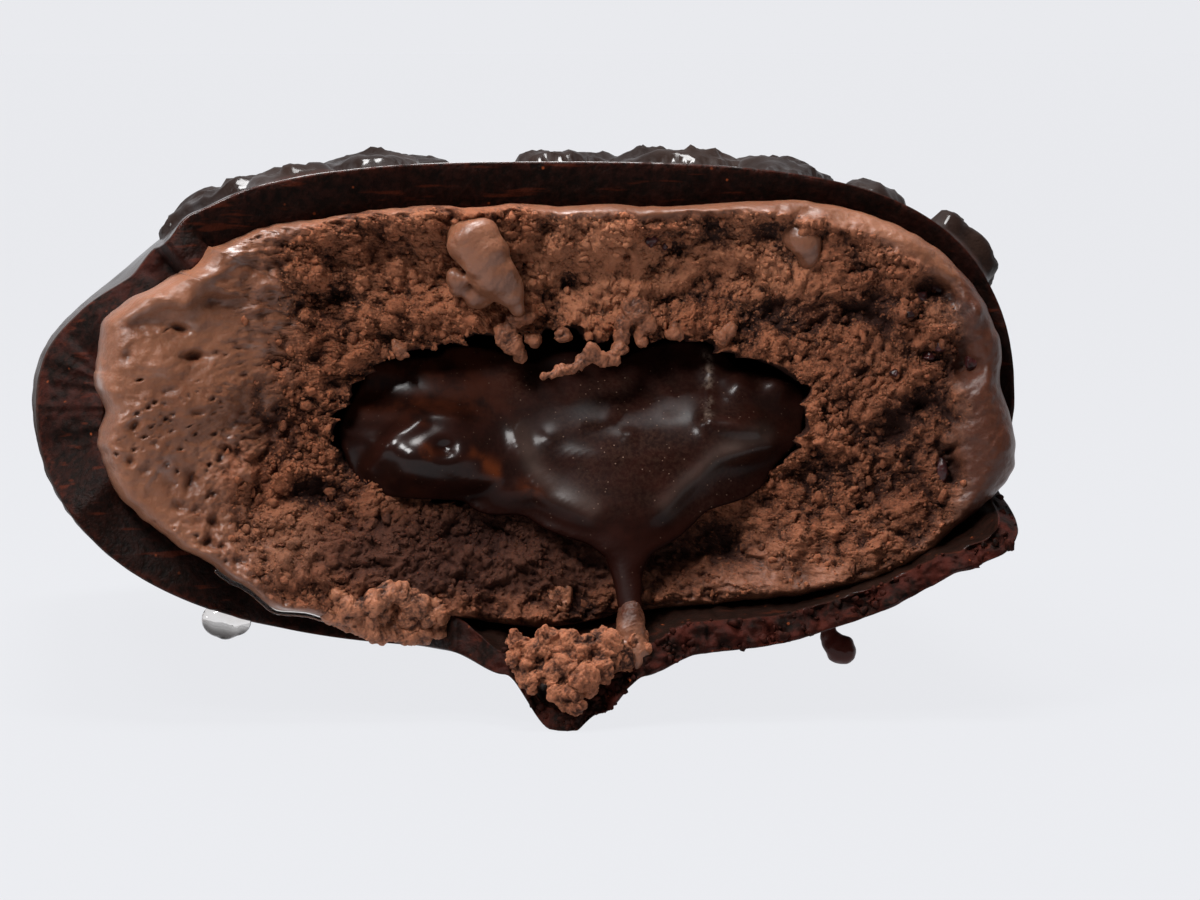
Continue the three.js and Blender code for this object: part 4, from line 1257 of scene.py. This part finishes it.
def shell_outside(angle, y, edge):
    """The outside with its lumps, runs and scratches, and how lumpy and how rubbed each point is."""
    angle = np.broadcast_to(angle, y.shape)
    points = shell_block(angle, y, 0.0, edge)
    lumps = lump_height(points)
    runs = 0.12 * layered(points * [1, 0.6, 1], 5.0, 530, 2) + 0.03 * noise(points, 0.9, 533)
    rubbed = hump(points[..., 0], points[..., 2], -24.5, 13.0, 5.0, 8.0)
    scratches = 0.1 * rubbed * noise(points * [1, 1, 0.35], 0.5, 540)
    lifted = (lumps + runs + scratches) * smooth(0.0, 1.2, y - edge)
    return points + outward_at(angle, y) * lifted[..., None], np.clip(lumps, 0, 1), rubbed


def broken_band(angle, edge, through):
    """The band where the shell snapped, from the outside at 0 to the inside at 1."""
    depth = around(SHELL_THICKNESS, angle) * around(EDGE_THINNED, angle) * through
    band = shell_block(angle, edge + around(FRACTURE_SLOPE, angle) * through, depth, edge)
    middle = smooth(0.0, 0.18, through) * (1 - smooth(0.82, 1.0, through))
    rough = jagged(band, (1.5, 0.5, 0.22), (0.3, 0.16, 0.09), 550) * around(SNAP_ROUGHNESS, angle)
    band[..., 1] -= 0.1 * (1 - (2 * through - 1) ** 4) + rough * middle
    return band


def shell_inside(angle, edge, behind):
    """The inside, which shows at the flake and behind the melted edge."""
    y = edge + around(FRACTURE_SLOPE, angle) + behind
    thinned = mix(around(EDGE_THINNED, angle), 1, smooth(0.0, 4.0, behind))
    inside = shell_block(angle, y, around(SHELL_THICKNESS, angle) * thinned, edge)
    uneven = 0.1 * noise(inside, 0.8, 560)
    return inside + outward_at(np.broadcast_to(angle, y.shape), y) * uneven[..., None]


def chocolate_shell():
    """Outside, broken band and inside as one closed surface."""
    angle, far_angle = directions(SHELL_COLUMNS), directions(HIDDEN_COLUMNS)
    edge = broken_edge(angle)
    far_edge = edge[:: SHELL_COLUMNS // HIDDEN_COLUMNS]
    far_y = side_depths(far_edge + COARSE_BEHIND, straight=84, rounded=14, crowd=1.5)[::-1]
    far, far_lumps, far_rubbed = shell_outside(far_angle, far_y, far_edge)
    near_y = edge + np.linspace(FINE_BEHIND, 0.0, 34)[:, None]
    near, near_lumps, near_rubbed = shell_outside(angle, near_y, edge)
    through = np.linspace(0.04, 0.96, 24)[:, None]
    band = broken_band(angle, edge, through)
    inner = shell_inside(angle, edge, np.linspace(0.1, 7.5, 16)[:, None])
    deep_edge = far_edge + around(FRACTURE_SLOPE, far_angle)
    deep_y = side_depths(deep_edge + COARSE_BEHIND, straight=8, rounded=5, crowd=1.0)
    deep = shell_block(far_angle, deep_y, around(SHELL_THICKNESS, far_angle), far_edge)
    blocks = [far, near, band, inner, deep]
    outer_pole, inner_pole = ([CENTRE_X, y, CENTRE_Z] for y in (BACK_END, BACK_END - BACK_WALL))
    points, faces = loft(outer_pole, blocks, inner_pole)
    near_rim, band_rim = smooth(0.5, 0.0, near_y - edge), np.abs(2 * through - 1) ** 6
    values = {
        "broken": spread(blocks, (0, 0, 1, 0.6, 0.3)),
        "lump": spread(blocks, (far_lumps, near_lumps, 0, 0, 0)),
        "rubbed": spread(blocks, (far_rubbed, near_rubbed, 0, 0, 0)),
        "snapped": spread(blocks, (0, 0, around(SNAP_ROUGHNESS, angle), 0, 0)),
        "rim": spread(blocks, (0, near_rim, band_rim, 0, 0)),
    }
    return new_piece("shell", points, faces, values)


shell = chocolate_shell()
dress(shell, "chocolate_shell")

# %% [markdown]
# Where the shell snapped, small chips of chocolate stayed on the broken band. Specks of
# colour could stand for them, but only real chips break the outline of the band.

# %% Shell: chips on the broken band
def chips(count, first, last):
    """Chips on the broken band, from one angle in degrees to another."""
    angle = np.radians(draw.uniform(first, last, count))
    edge, through = broken_edge(angle), draw.uniform(0.05, 1.0, count)
    y = edge + around(FRACTURE_SLOPE, angle) * through
    depth = around(SHELL_THICKNESS, angle) * around(EDGE_THINNED, angle) * through
    middles = shell_block(angle, y, depth, edge)
    radius = 0.07 + 0.2 * draw.random(count) ** 2.5
    radii = radius[:, None] * draw.uniform(0.7, 1.3, (count, 3))
    points, faces = scattered_balls(BALL_80, middles, radii, 0.7, 570)
    return new_piece("chocolate_chips", points, faces, {"broken": 1, "snapped": 1, "rim": 0.3})


chips_on_band = chips(260, 262.0, 352.0)
dress(chips_on_band, "chocolate_shell")

# %% [markdown]
# A drop of chocolate ran down under the bar and set while it hung from the flake's
# right half. It is made as the drips of ice cream are, from balls in one skin.

# %% Shell: the drop that set
DROP = [
    (15.3, 3.6, 6.3, 0.7), (15.3, 3.6, 5.8, 0.6), (15.35, 3.6, 5.3, 0.5), (15.4, 3.6, 4.9, 0.42),
    (15.5, 3.6, 4.5, 0.4), (15.6, 3.6, 4.1, 0.46), (15.8, 3.6, 3.7, 0.62), (16.1, 3.6, 3.4, 0.76),
    (16.3, 3.6, 3.3, 0.68),
]
hanging_drop = knobs(
    "hanging_drop", DROP, voxel=0.06, uneven=0.2, grain=0.02, melt=0.5, seed=600, rounds=14, thin=1
)
dress(hanging_drop, "chocolate_shell")

# %% [markdown]
# Dark chocolate is nearly black, so it is read by its gloss. The coated outside is
# shiny with a dull bloom, the broken band is rough and matt with specks of cocoa, and
# thin edges let some red through. At the left the outside was rubbed by fingers.

# %% Shell: finish
def chocolate_finish():
    finish = Finish("chocolate_finish", IOR=1.14, Coat_Roughness=0.14)
    broken, lump, rim = finish.stored("broken"), finish.stored("lump"), finish.stored("rim")
    snapped, rubbed = finish.stored("snapped"), finish.stored("rubbed")
    cloud, bloom = finish.noise(1.3, 3.0, 0.6), finish.noise(5.0, 4.0, 0.6)
    grain = finish.noise(0.35, 3.0, 0.6)
    streaks = finish.noise(1.0, 2.0, 0.5, (0.35, 1.0, 2.6)).between(0.6, 0.72)
    specks = finish.spots(0.8, 0.1) * finish.noise(2.5).between(0.45, 0.65)
    outside = finish.blend(bloom.between(0.3, 0.7), seen(26, 14, 10), seen(38, 24, 18))
    inside = finish.blend(grain.between(0.35, 0.7), seen(13, 7, 5), seen(30, 14, 10))
    colour = finish.blend(broken, outside, inside)
    colour = finish.blend(broken * streaks * 0.3, colour, seen(96, 40, 22))
    colour = finish.blend(snapped * cloud.between(0.4, 0.65) * 0.45, colour, seen(64, 24, 17))
    colour = finish.blend(broken * specks * 0.8, colour, seen(150, 72, 38))
    colour = finish.blend(rim * grain.between(0.3, 0.7) * 0.6, colour, seen(78, 32, 20))
    colour = finish.blend(rubbed * 0.6, colour, seen(50, 36, 30))
    thin = finish.stored("thin")
    colour = finish.blend(thin, colour, seen(54, 18, 12))
    coat = (1 - broken) * (1 - 0.7 * lump) * (1 - rubbed) * (1 - 0.6 * thin)
    finish.set(Base_Color=colour, Coat_Weight=coat * 0.7)
    dull = 0.16 * broken + 0.16 * snapped + 0.28 * lump + 0.4 * rubbed
    finish.set(Roughness=0.34 + dull + 0.2 * (bloom - 0.5))
    pores = finish.noise(0.12)
    finish.relief((grain * (0.3 + broken + lump), 0.06), (pores * (0.2 + broken), 0.02))
    return finish


chocolate_finish().on(shell, chips_on_band, hanging_drop)

# %% [markdown]
# ## Fudge
# The soft core sank away from the roof of its tunnel, bulges over the lower lip and runs
# out as a thread. A polar grid gives the front its folds and bulges, the thread is a
# tube, and a remesh with a lot of smoothing round the funnel lets one flow into the
# other. Behind the front, a plain tube runs on through the bar.

# %% Fudge: the front
POOL_X, POOL_Z = 4.0, 14.5
# From the pool's middle to its edge.
POOL_REACH = [
    (0, 10.1), (9, 10.5), (26, 7.5), (78, 3.7), (131, 4.6), (153, 8.7), (165, 12.0), (181, 13.0),
    (190, 12.6), (208, 7.6), (229, 5.7), (257, 5.6), (273, 6.3), (281, 7.0), (293, 6.4), (319, 6.4),
    (345, 8.6),
]
# The thread as it runs down: x, y, z and radius.
THREAD = [
    (4.8, 0.9, 11.0, 2.1), (4.8, 0.6, 10.2, 1.85), (4.85, 0.15, 9.3, 1.5), (4.9, -0.35, 8.4, 1.1),
    (4.95, -1.1, 7.3, 0.8), (4.95, -1.9, 6.3, 0.66), (4.95, -2.5, 5.6, 0.6), (4.9, -3.0, 5.0, 0.56),
]
FUDGE_COLUMNS, FUDGE_RINGS = 420, 100
FOLD_LEFT = [(-0.4, 14.6), (0.0, 12.7), (0.9, 11.2), (3.3, 10.2)]
FOLD_RIGHT = [(6.5, 10.4), (8.2, 12.0), (9.6, 13.1), (12.3, 13.7)]
# Lines beside the folds where pale painted highlights lie.
PAINTED_HIGHLIGHT_LEFT = [(-0.1, 14.5), (0.5, 12.9), (1.5, 11.6), (3.1, 10.8)]
PAINTED_HIGHLIGHT_RIGHT = [(7.0, 10.9), (8.5, 12.3), (9.9, 13.6), (12.0, 14.3)]
SMEAR = [(9.45, 18.3), (9.35, 16.8), (9.15, 15.0)]  # of ice cream
AMBER_STREAK = [(-2.6, 13.4), (-0.8, 12.2), (0.6, 11.6)]
POOL_DEPTH = 1.6  # behind the bite's plane
# Swells of the front, towards the bite: height, x, z, half width and half height of each.
POOL_LOBES = [
    (1.5, -5.2, 13.2, 3.4, 2.0), (2.0, 5.2, 12.6, 5.0, 3.0), (0.9, 10.2, 14.6, 2.4, 2.0),
]
POOL_HUMPS = [
    (0.55, -7.9, 14.6, 1.3, 1.1), (0.5, -6.0, 13.2, 1.0, 1.4),  # bulges at the left
    (-0.8, -3.95, 13.7, 0.6, 0.45), (0.3, -3.9, 13.7, 1.3, 1.0),  # a burst bubble and its collar
    (-0.22, 5.6, 13.4, 3.8, 2.2),  # the shallow dish of the dusty skin
    (0.7, 11.0, 16.9, 0.75, 0.7), (0.7, 12.9, 16.8, 0.9, 0.8),  # domes at the right
    (0.35, 9.8, 17.4, 0.45, 0.45),
    (0.2, 5.2, 14.3, 0.35, 0.3), (0.15, 1.2, 14.2, 0.5, 0.5),  # small knobs in the skin
]
# Folds: height, half width and route of each.
POOL_RIDGES = [
    (0.3, 0.5, [(-8.8, 15.8), (-6.0, 15.6), (-3.2, 15.2)]),
    (0.35, 0.4, [(-7.6, 12.6), (-6.4, 14.4), (-5.2, 15.0)]),
    (0.2, 0.36, FOLD_LEFT),
    (0.26, 0.42, FOLD_RIGHT),
    (0.4, 0.5, [(9.2, 14.9), (11.6, 14.6)]),
    (0.16, 0.28, SMEAR),
]


def pool_face(x, z):
    """Where the fudge's front lies: it sinks at the top and comes out at the funnel below."""
    sunk = 2.2 * smooth(13.0, 20.0, z)
    funnel = 2.9 * (1 - smooth(7.5, 13.0, z))
    return POOL_DEPTH + sunk - funnel - humps(x, z, POOL_LOBES + POOL_HUMPS) - ridges(x, z, POOL_RIDGES)


print("the fudge's front lies at", pool_face(np.array([-6.0, 4.0, 12.0]), np.full(3, 14.0)).round(1))

# %% Fudge: thread and skin
def thread_rings(sides=48):
    """Rings of the thread along its route, with the corners of the route smoothed."""
    route = np.array(THREAD)
    steps = np.linspace(0, len(route) - 1, 60)
    stops = [np.interp(steps, np.arange(len(route)), route[:, axis]) for axis in range(4)]
    kernel = np.array([1, 2, 3, 2, 1]) / 9
    x, y, z, radius = (np.convolve(np.pad(s, 2, mode="edge"), kernel, mode="valid") for s in stops)
    turn = np.arange(sides) / sides * 2 * np.pi
    around_x = x[:, None] + radius[:, None] * np.cos(turn)
    around_y = y[:, None] + 0.8 * radius[:, None] * np.sin(turn)
    return np.stack([around_x, around_y, z[:, None] + 0 * turn], -1)


CORE_CLEARANCE = 0.2  # from the fudge to the tunnel's wall, inside the bar
TUBE_START = 14.0  # the plain tube starts inside the front's skin, which ends 1 mm further back


def fudge_front():
    """Front, neck and thread as one skin."""
    angle = directions(FUDGE_COLUMNS)
    steps = np.linspace(1, 0.01, FUDGE_RINGS)[:, None]
    reach = around(POOL_REACH, angle) * steps
    x, z = POOL_X + reach * np.cos(angle), POOL_Z + reach * np.sin(angle)
    rolled_back = 1.3 * smooth(0.55, 1.0, steps) ** 2 * smooth(7.5, 11.5, z)
    rolled_back *= (1 - 0.8 * smooth(15.5, 18.0, z)) * (1 - 0.7 * smooth(7.0, 10.0, x))
    front = np.stack([x, pool_face(x, z) + rolled_back, z], -1)
    thick = front[0] + [0, 0.8, 0]
    tunnel = core_point(0.96 * tunnel_reach(angle), angle, 0.0)
    neck = np.stack([tunnel[:, 0], front[0, :, 1] + 2.4, tunnel[:, 2]], -1)
    back = TUBE_START + 1.0
    inner = [core_point(tunnel_reach(angle) - CORE_CLEARANCE, angle, y) for y in (back, TUBE_START)]
    pole = front[-1].mean(axis=0)
    body, body_faces = loft([CORE_X, back, CORE_Z], [inner, [neck, thick], front], pole)
    rings = thread_rings()
    ends = rings[0].mean(axis=0) + [0, 0, 0.4], rings[-1].mean(axis=0) - [0, 0, 0.3]
    tube, tube_faces = loft(ends[0], [rings], ends[1])
    points = np.concatenate([body, tube])
    faces = np.concatenate([body_faces, tube_faces[:, ::-1] + len(body)])
    points, faces = one_skin(points, faces, 0.12)
    # The funnel is smoothed most, so that the thread seems to flow out of the front.
    x, z = points[:, 0], points[:, 2]
    funnel = hump(x, z, 4.9, 9.8, 3.2, 2.2) * smooth(4.8, 5.6, z)
    return smoothed(smoothed(points, faces, 5), faces, 40, funnel), faces


def fudge_values(points):
    """What the finish needs: how dusty, thin, glossy and smeared each place is, its amber and painted
    light, and its painted highlights.
    """
    x, z = points[:, 0], points[:, 2]
    lens = hump(x, z, 5.9, 13.8, 4.2, 2.9) ** 0.6 * smooth(9.6, 10.8, z)
    patches = smooth(-0.1, 0.7, jagged(points, (1.5, 0.6), (1.0, 0.5), 700))
    folds = np.maximum(ridge(x, z, FOLD_LEFT, 0.35), ridge(x, z, FOLD_RIGHT, 0.45))
    dusty = lens * (0.65 + 0.35 * patches) * (1 - 0.8 * folds) + 0.7 * hump(x, z, -0.3, 17.0, 0.8, 0.9)
    dusty += 0.5 * hump(x, z, 11.8, 16.6, 2.0, 1.0) * patches
    # Painted highlights: pale lines along the folds.
    fold_highlight_lines = np.maximum(ridge(x, z, PAINTED_HIGHLIGHT_LEFT, 0.5), ridge(x, z, PAINTED_HIGHLIGHT_RIGHT, 0.5))
    pale = fold_highlight_lines * (0.6 + 0.4 * patches)
    turn = np.arctan2(z - POOL_Z, x - POOL_X)
    share = np.hypot(x - POOL_X, z - POOL_Z) / around(POOL_REACH, turn)
    lower_edge = smooth(0.72, 1.0, share) * smooth(14.8, 13.2, z) * smooth(-5.0, -2.0, x)
    thin = np.maximum(lower_edge, 1 - smooth(6.5, 10.5, z))
    wiped = smooth(-0.5, 0.5, jagged(points, (0.4, 0.15), (1.0, 0.5), 710))
    smear = ridge(x, z, SMEAR, 0.22) * wiped
    glossy = np.maximum(hump(x, z, -6.5, 14.2, 4.2, 3.0), hump(x, z, 10.8, 15.6, 3.2, 2.6))
    amber = np.maximum(ridge(x, z, AMBER_STREAK, 0.4), 0.8 * hump(x, z, -5.2, 13.6, 0.7, 1.4))
    amber = amber * smooth(-0.4, 0.4, noise(points, 0.8, 720))
    # Painted light: the upper left is made more amber, lighter and redder.
    amber += 0.2 * smooth(14.6, 16.0, z) * smooth(1.0, -2.0, x)
    values = {"dusty": np.clip(dusty, 0, 1), "thin": thin, "smear": smear, "glossy": glossy}
    return values | {"pale": pale, "amber": amber}


front_points, front_faces = fudge_front()
fudge = new_piece("fudge_front", front_points, front_faces, fudge_values(front_points))
dress(fudge, "fudge_core")

# %% [markdown]
# The rest of the core lies hidden in the bar. It has to be there, because the solid that
# is replaced has it, but a few plain rings do for it.

# %% Fudge: the tube inside
def fudge_inside():
    """The core behind the front, rounded off at its back end."""
    angle = directions(96)
    reach = tunnel_reach(angle)
    rings = [core_point(reach - CORE_CLEARANCE, angle, y) for y in (TUBE_START, 24.0, 40.0, 54.0)]
    rings.append(core_point(reach * 0.8, angle, CORE_BACK - 0.8))
    front, back = [CORE_X, TUBE_START - 0.1, CORE_Z], [CORE_X, CORE_BACK, CORE_Z]
    return new_piece("fudge_inside", *loft(front, [rings], back))


fudge_tube = fudge_inside()
dress(fudge_tube, "fudge_core")

# %% [markdown]
# Fudge is a dark sugar syrup with a wet skin: almost black where it is deep, red-brown
# where it is thin. Where it froze against ice cream its skin is dull and dusty, so the
# roughness changes over the front, and a clear coat keeps the wet highlights. Pale lines
# along the folds are painted highlights, and the upper left is painted lighter and redder
# as painted light.

# %% Fudge: finish
def fudge_finish():
    finish = Finish("fudge_finish", IOR=1.1, Coat_Roughness=0.22)
    dusty, thin, smear = finish.stored("dusty"), finish.stored("thin"), finish.stored("smear")
    cloud, fine = finish.noise(1.2, 4.0, 0.6), finish.noise(0.2, 3.0, 0.6)
    specks = finish.spots(0.4, 0.045)
    colour = finish.blend(cloud.between(0.3, 0.75), seen(24, 9, 6), seen(37, 15, 10))
    colour = finish.blend(thin, colour, seen(26, 8, 5))
    colour = finish.blend(dusty * fine.between(0.35, 0.7) * 0.3, colour, seen(78, 55, 44))
    # Amber of the streak and patch, and painted light at the upper left.
    amber = finish.stored("amber") * cloud.between(0.3, 0.6) * 0.5
    colour = finish.blend(amber, colour, seen(112, 52, 22))
    # Painted highlights along the folds.
    colour = finish.blend(finish.stored("pale") * 0.4, colour, seen(96, 80, 73))
    colour = finish.blend(specks * (0.15 + 0.6 * dusty), colour, seen(140, 112, 96))
    colour = finish.blend(smear * fine.between(0.3, 0.6) * 0.7, colour, seen(124, 106, 94))
    coat = (1 - dusty) * (1 - smear) * (1 - thin)
    finish.set(Base_Color=colour, Coat_Weight=coat * (0.22 + 0.3 * finish.stored("glossy")))
    finish.set(Roughness=0.3 + 0.3 * dusty + 0.12 * fine + 0.1 * thin)
    finish.relief((cloud, 0.05), (fine * dusty, 0.03))
    return finish


fudge_finish().on(fudge, fudge_tube)

# %% [markdown]
# ## Small things in and under the bar
# A few dark bits of fruit are sunk in the ice cream, and a drop of melt water hangs under
# the left side of the shell. Plain balls would look like beads, so the bits are uneven
# balls, each at the point of the face nearest to its place. The water is one skin again:
# a drop, and the film above it that feeds it.

# %% Fruit bits
FRUIT_DEPTH = 0.35
# x, z, half width and half height of each bit.
FRUIT = [
    (6.4, 24.0, 0.3, 0.35), (7.2, 23.7, 0.2, 0.2), (20.7, 21.5, 0.55, 0.35), (19.7, 21.1, 0.4, 0.3),
    (20.7, 18.6, 0.35, 0.28), (20.1, 18.1, 0.3, 0.25), (22.4, 17.8, 0.35, 0.4),
    (20.9, 12.4, 0.32, 0.75), (18.5, 17.3, 0.2, 0.2), (19.2, 20.2, 0.25, 0.2),
]


def fruit_bits():
    """Uneven balls, each at the point of the face that is nearest to its place."""
    spots = np.array(FRUIT)
    flat = face[..., [0, 2]].reshape(-1, 2)
    nearest = [np.argmin(((flat - spot[:2]) ** 2).sum(axis=1)) for spot in spots]
    middles = face.reshape(-1, 3)[nearest] + [0, 0.05, 0]
    radii = np.stack([spots[:, 2], np.full(len(spots), FRUIT_DEPTH), spots[:, 3]], -1)
    points, faces = scattered_balls(BALL_320, middles, radii, 0.35, 720)
    return new_piece("fruit_bits", points, faces)


fruit = fruit_bits()
dress(fruit, "ice_cream")
fruit_finish = Finish("fruit_finish", Roughness=0.3, IOR=1.42)
skin_tone = fruit_finish.noise(0.5, 3.0).between(0.3, 0.7)
fruit_finish.set(Base_Color=fruit_finish.blend(skin_tone, seen(30, 14, 14), seen(66, 26, 26)))
fruit_finish.relief((fruit_finish.noise(0.3), 0.08))
fruit_finish.on(fruit)

# %% Melt water
MELT_DROP = [(-15.1, 1.6, 5.3, 0.85), (-14.7, 1.7, 5.15, 0.85), (-14.2, 1.7, 5.2, 0.7)]
MELT_FILM_RADIUS = 0.15
film = rim_line(np.radians(np.linspace(211.0, 231.0, 70))) + [0.0, -0.1, -0.12]
melt = MELT_DROP + [(*middle, MELT_FILM_RADIUS) for middle in film]
melt_water = knobs(
    "melt_water", melt, voxel=0.05, uneven=0.1, grain=0.0, melt=1.0, seed=800, rounds=12
)
dress(melt_water, "ice_cream")
melt_finish = Finish("melt_finish", Roughness=0.02, IOR=1.33, Transmission_Weight=1.0)
milky = melt_finish.noise(1.5).between(0.3, 0.7)
melt_finish.set(Base_Color=melt_finish.blend(milky, seen(226, 220, 214), seen(250, 248, 246)))
melt_finish.on(melt_water)

# %% [markdown]
# ## Stage, light and camera
# The bar lies on a plain pale floor that glows a little, as paper on a light table does,
# so that it stays even and its shadows stay soft. The world behind it has the same colour
# for the camera, so that no edge of the floor shows, and lights the bar with less strength.

# %% Stage
FLOOR_REACH, FLOOR_FRONT = 4.0, -0.1
FLOOR_GLOW = 0.955
floor_mesh = bpy.data.meshes.new("floor")
corners = [(x, y, 0) for x in (-FLOOR_REACH, FLOOR_REACH) for y in (FLOOR_FRONT, FLOOR_REACH)]
floor_mesh.from_pydata(corners, [], [(0, 2, 3, 1)])
floor = new_object("floor", floor_mesh)
floor_finish = Finish("floor_finish", Roughness=0.9, Specular_IOR_Level=0.1, Emission_Strength=FLOOR_GLOW)
floor_finish.shader.inputs["Base Color"].default_value = (*seen(29, 30, 31), 1.0)
floor_finish.shader.inputs["Emission Color"].default_value = (*seen(234, 235, 239), 1.0)
floor_finish.on(floor)

surroundings = bpy.data.worlds.new("surroundings")
bpy.context.scene.world = surroundings
surroundings.use_nodes = True
background = surroundings.node_tree.nodes["Background"]
background.inputs["Color"].default_value = (*seen(233, 234, 238), 1.0)
network = Network(surroundings.node_tree)
direction = network.node("ShaderNodeTexCoord", output="Generated")
behind = network.node("ShaderNodeSeparateXYZ", {}, {0: direction}, "Y").between(-0.2, 0.8)
strength = network.node("ShaderNodeLightPath", output="Is Camera Ray").most(0.1 + 0.6 * behind)
surroundings.node_tree.links.new(strength.socket, background.inputs["Strength"])
bpy.context.scene.view_settings.view_transform = "Standard"

# %% [markdown]
# Dark chocolate shows what it reflects more than its colour, so the lights are round and
# soft. A window's light falls from the front left and from above, a second light hangs
# right above the bar, and a weak one fills in at the left.

# %% Lights
BITE = placed([3.72, 0.0, 13.6])  # what the lights and the camera point at


def soft_light(name, place, size, watts):
    """A round soft light that points at the bite."""
    data = bpy.data.lights.new(name, "AREA")
    data.shape, data.size, data.energy = "DISK", size, watts
    lamp = new_object(name, data)
    lamp.location = place
    lamp.rotation_euler = Vector(BITE - np.array(place)).to_track_quat("-Z", "Y").to_euler()
    print(f"{name}: {watts} W, {np.linalg.norm(BITE - place):.2f} m from the bite")


soft_light("window", (-0.18, -0.26, 0.34), size=0.14, watts=1.9)
soft_light("top_light", (-0.02, -0.02, 0.40), size=0.16, watts=2.0)
soft_light("left_light", (-0.34, -0.06, 0.20), size=0.10, watts=0.35)

# %% [markdown]
# The camera looks along the bar from a little to the left and above, so that the left side
# shows. It stands 30 cm away with a long lens, because a short one close by would make the
# flake look bigger than it is.

# %% Camera
CAMERA_DISTANCE = 0.30
CAMERA_AZIMUTH, CAMERA_ELEVATION = np.radians(-5.5), np.radians(4.2)
FRAME_WIDTH = 0.0593  # what the picture's width takes in at the bite
camera_data = bpy.data.cameras.new("camera")
camera = new_object("camera", camera_data)
bpy.context.scene.camera = camera
camera_data.lens = camera_data.sensor_width * CAMERA_DISTANCE / FRAME_WIDTH
camera_data.clip_start = 0.01
side, level = np.sin(CAMERA_AZIMUTH), np.cos(CAMERA_AZIMUTH)
ahead, up = np.cos(CAMERA_ELEVATION), np.sin(CAMERA_ELEVATION)
towards = np.array([side * ahead, -level * ahead, up])
camera.location = BITE + towards * CAMERA_DISTANCE
camera.rotation_euler = Vector(-towards).to_track_quat("-Z", "Y").to_euler()
print("lens:", round(camera_data.lens), "mm")
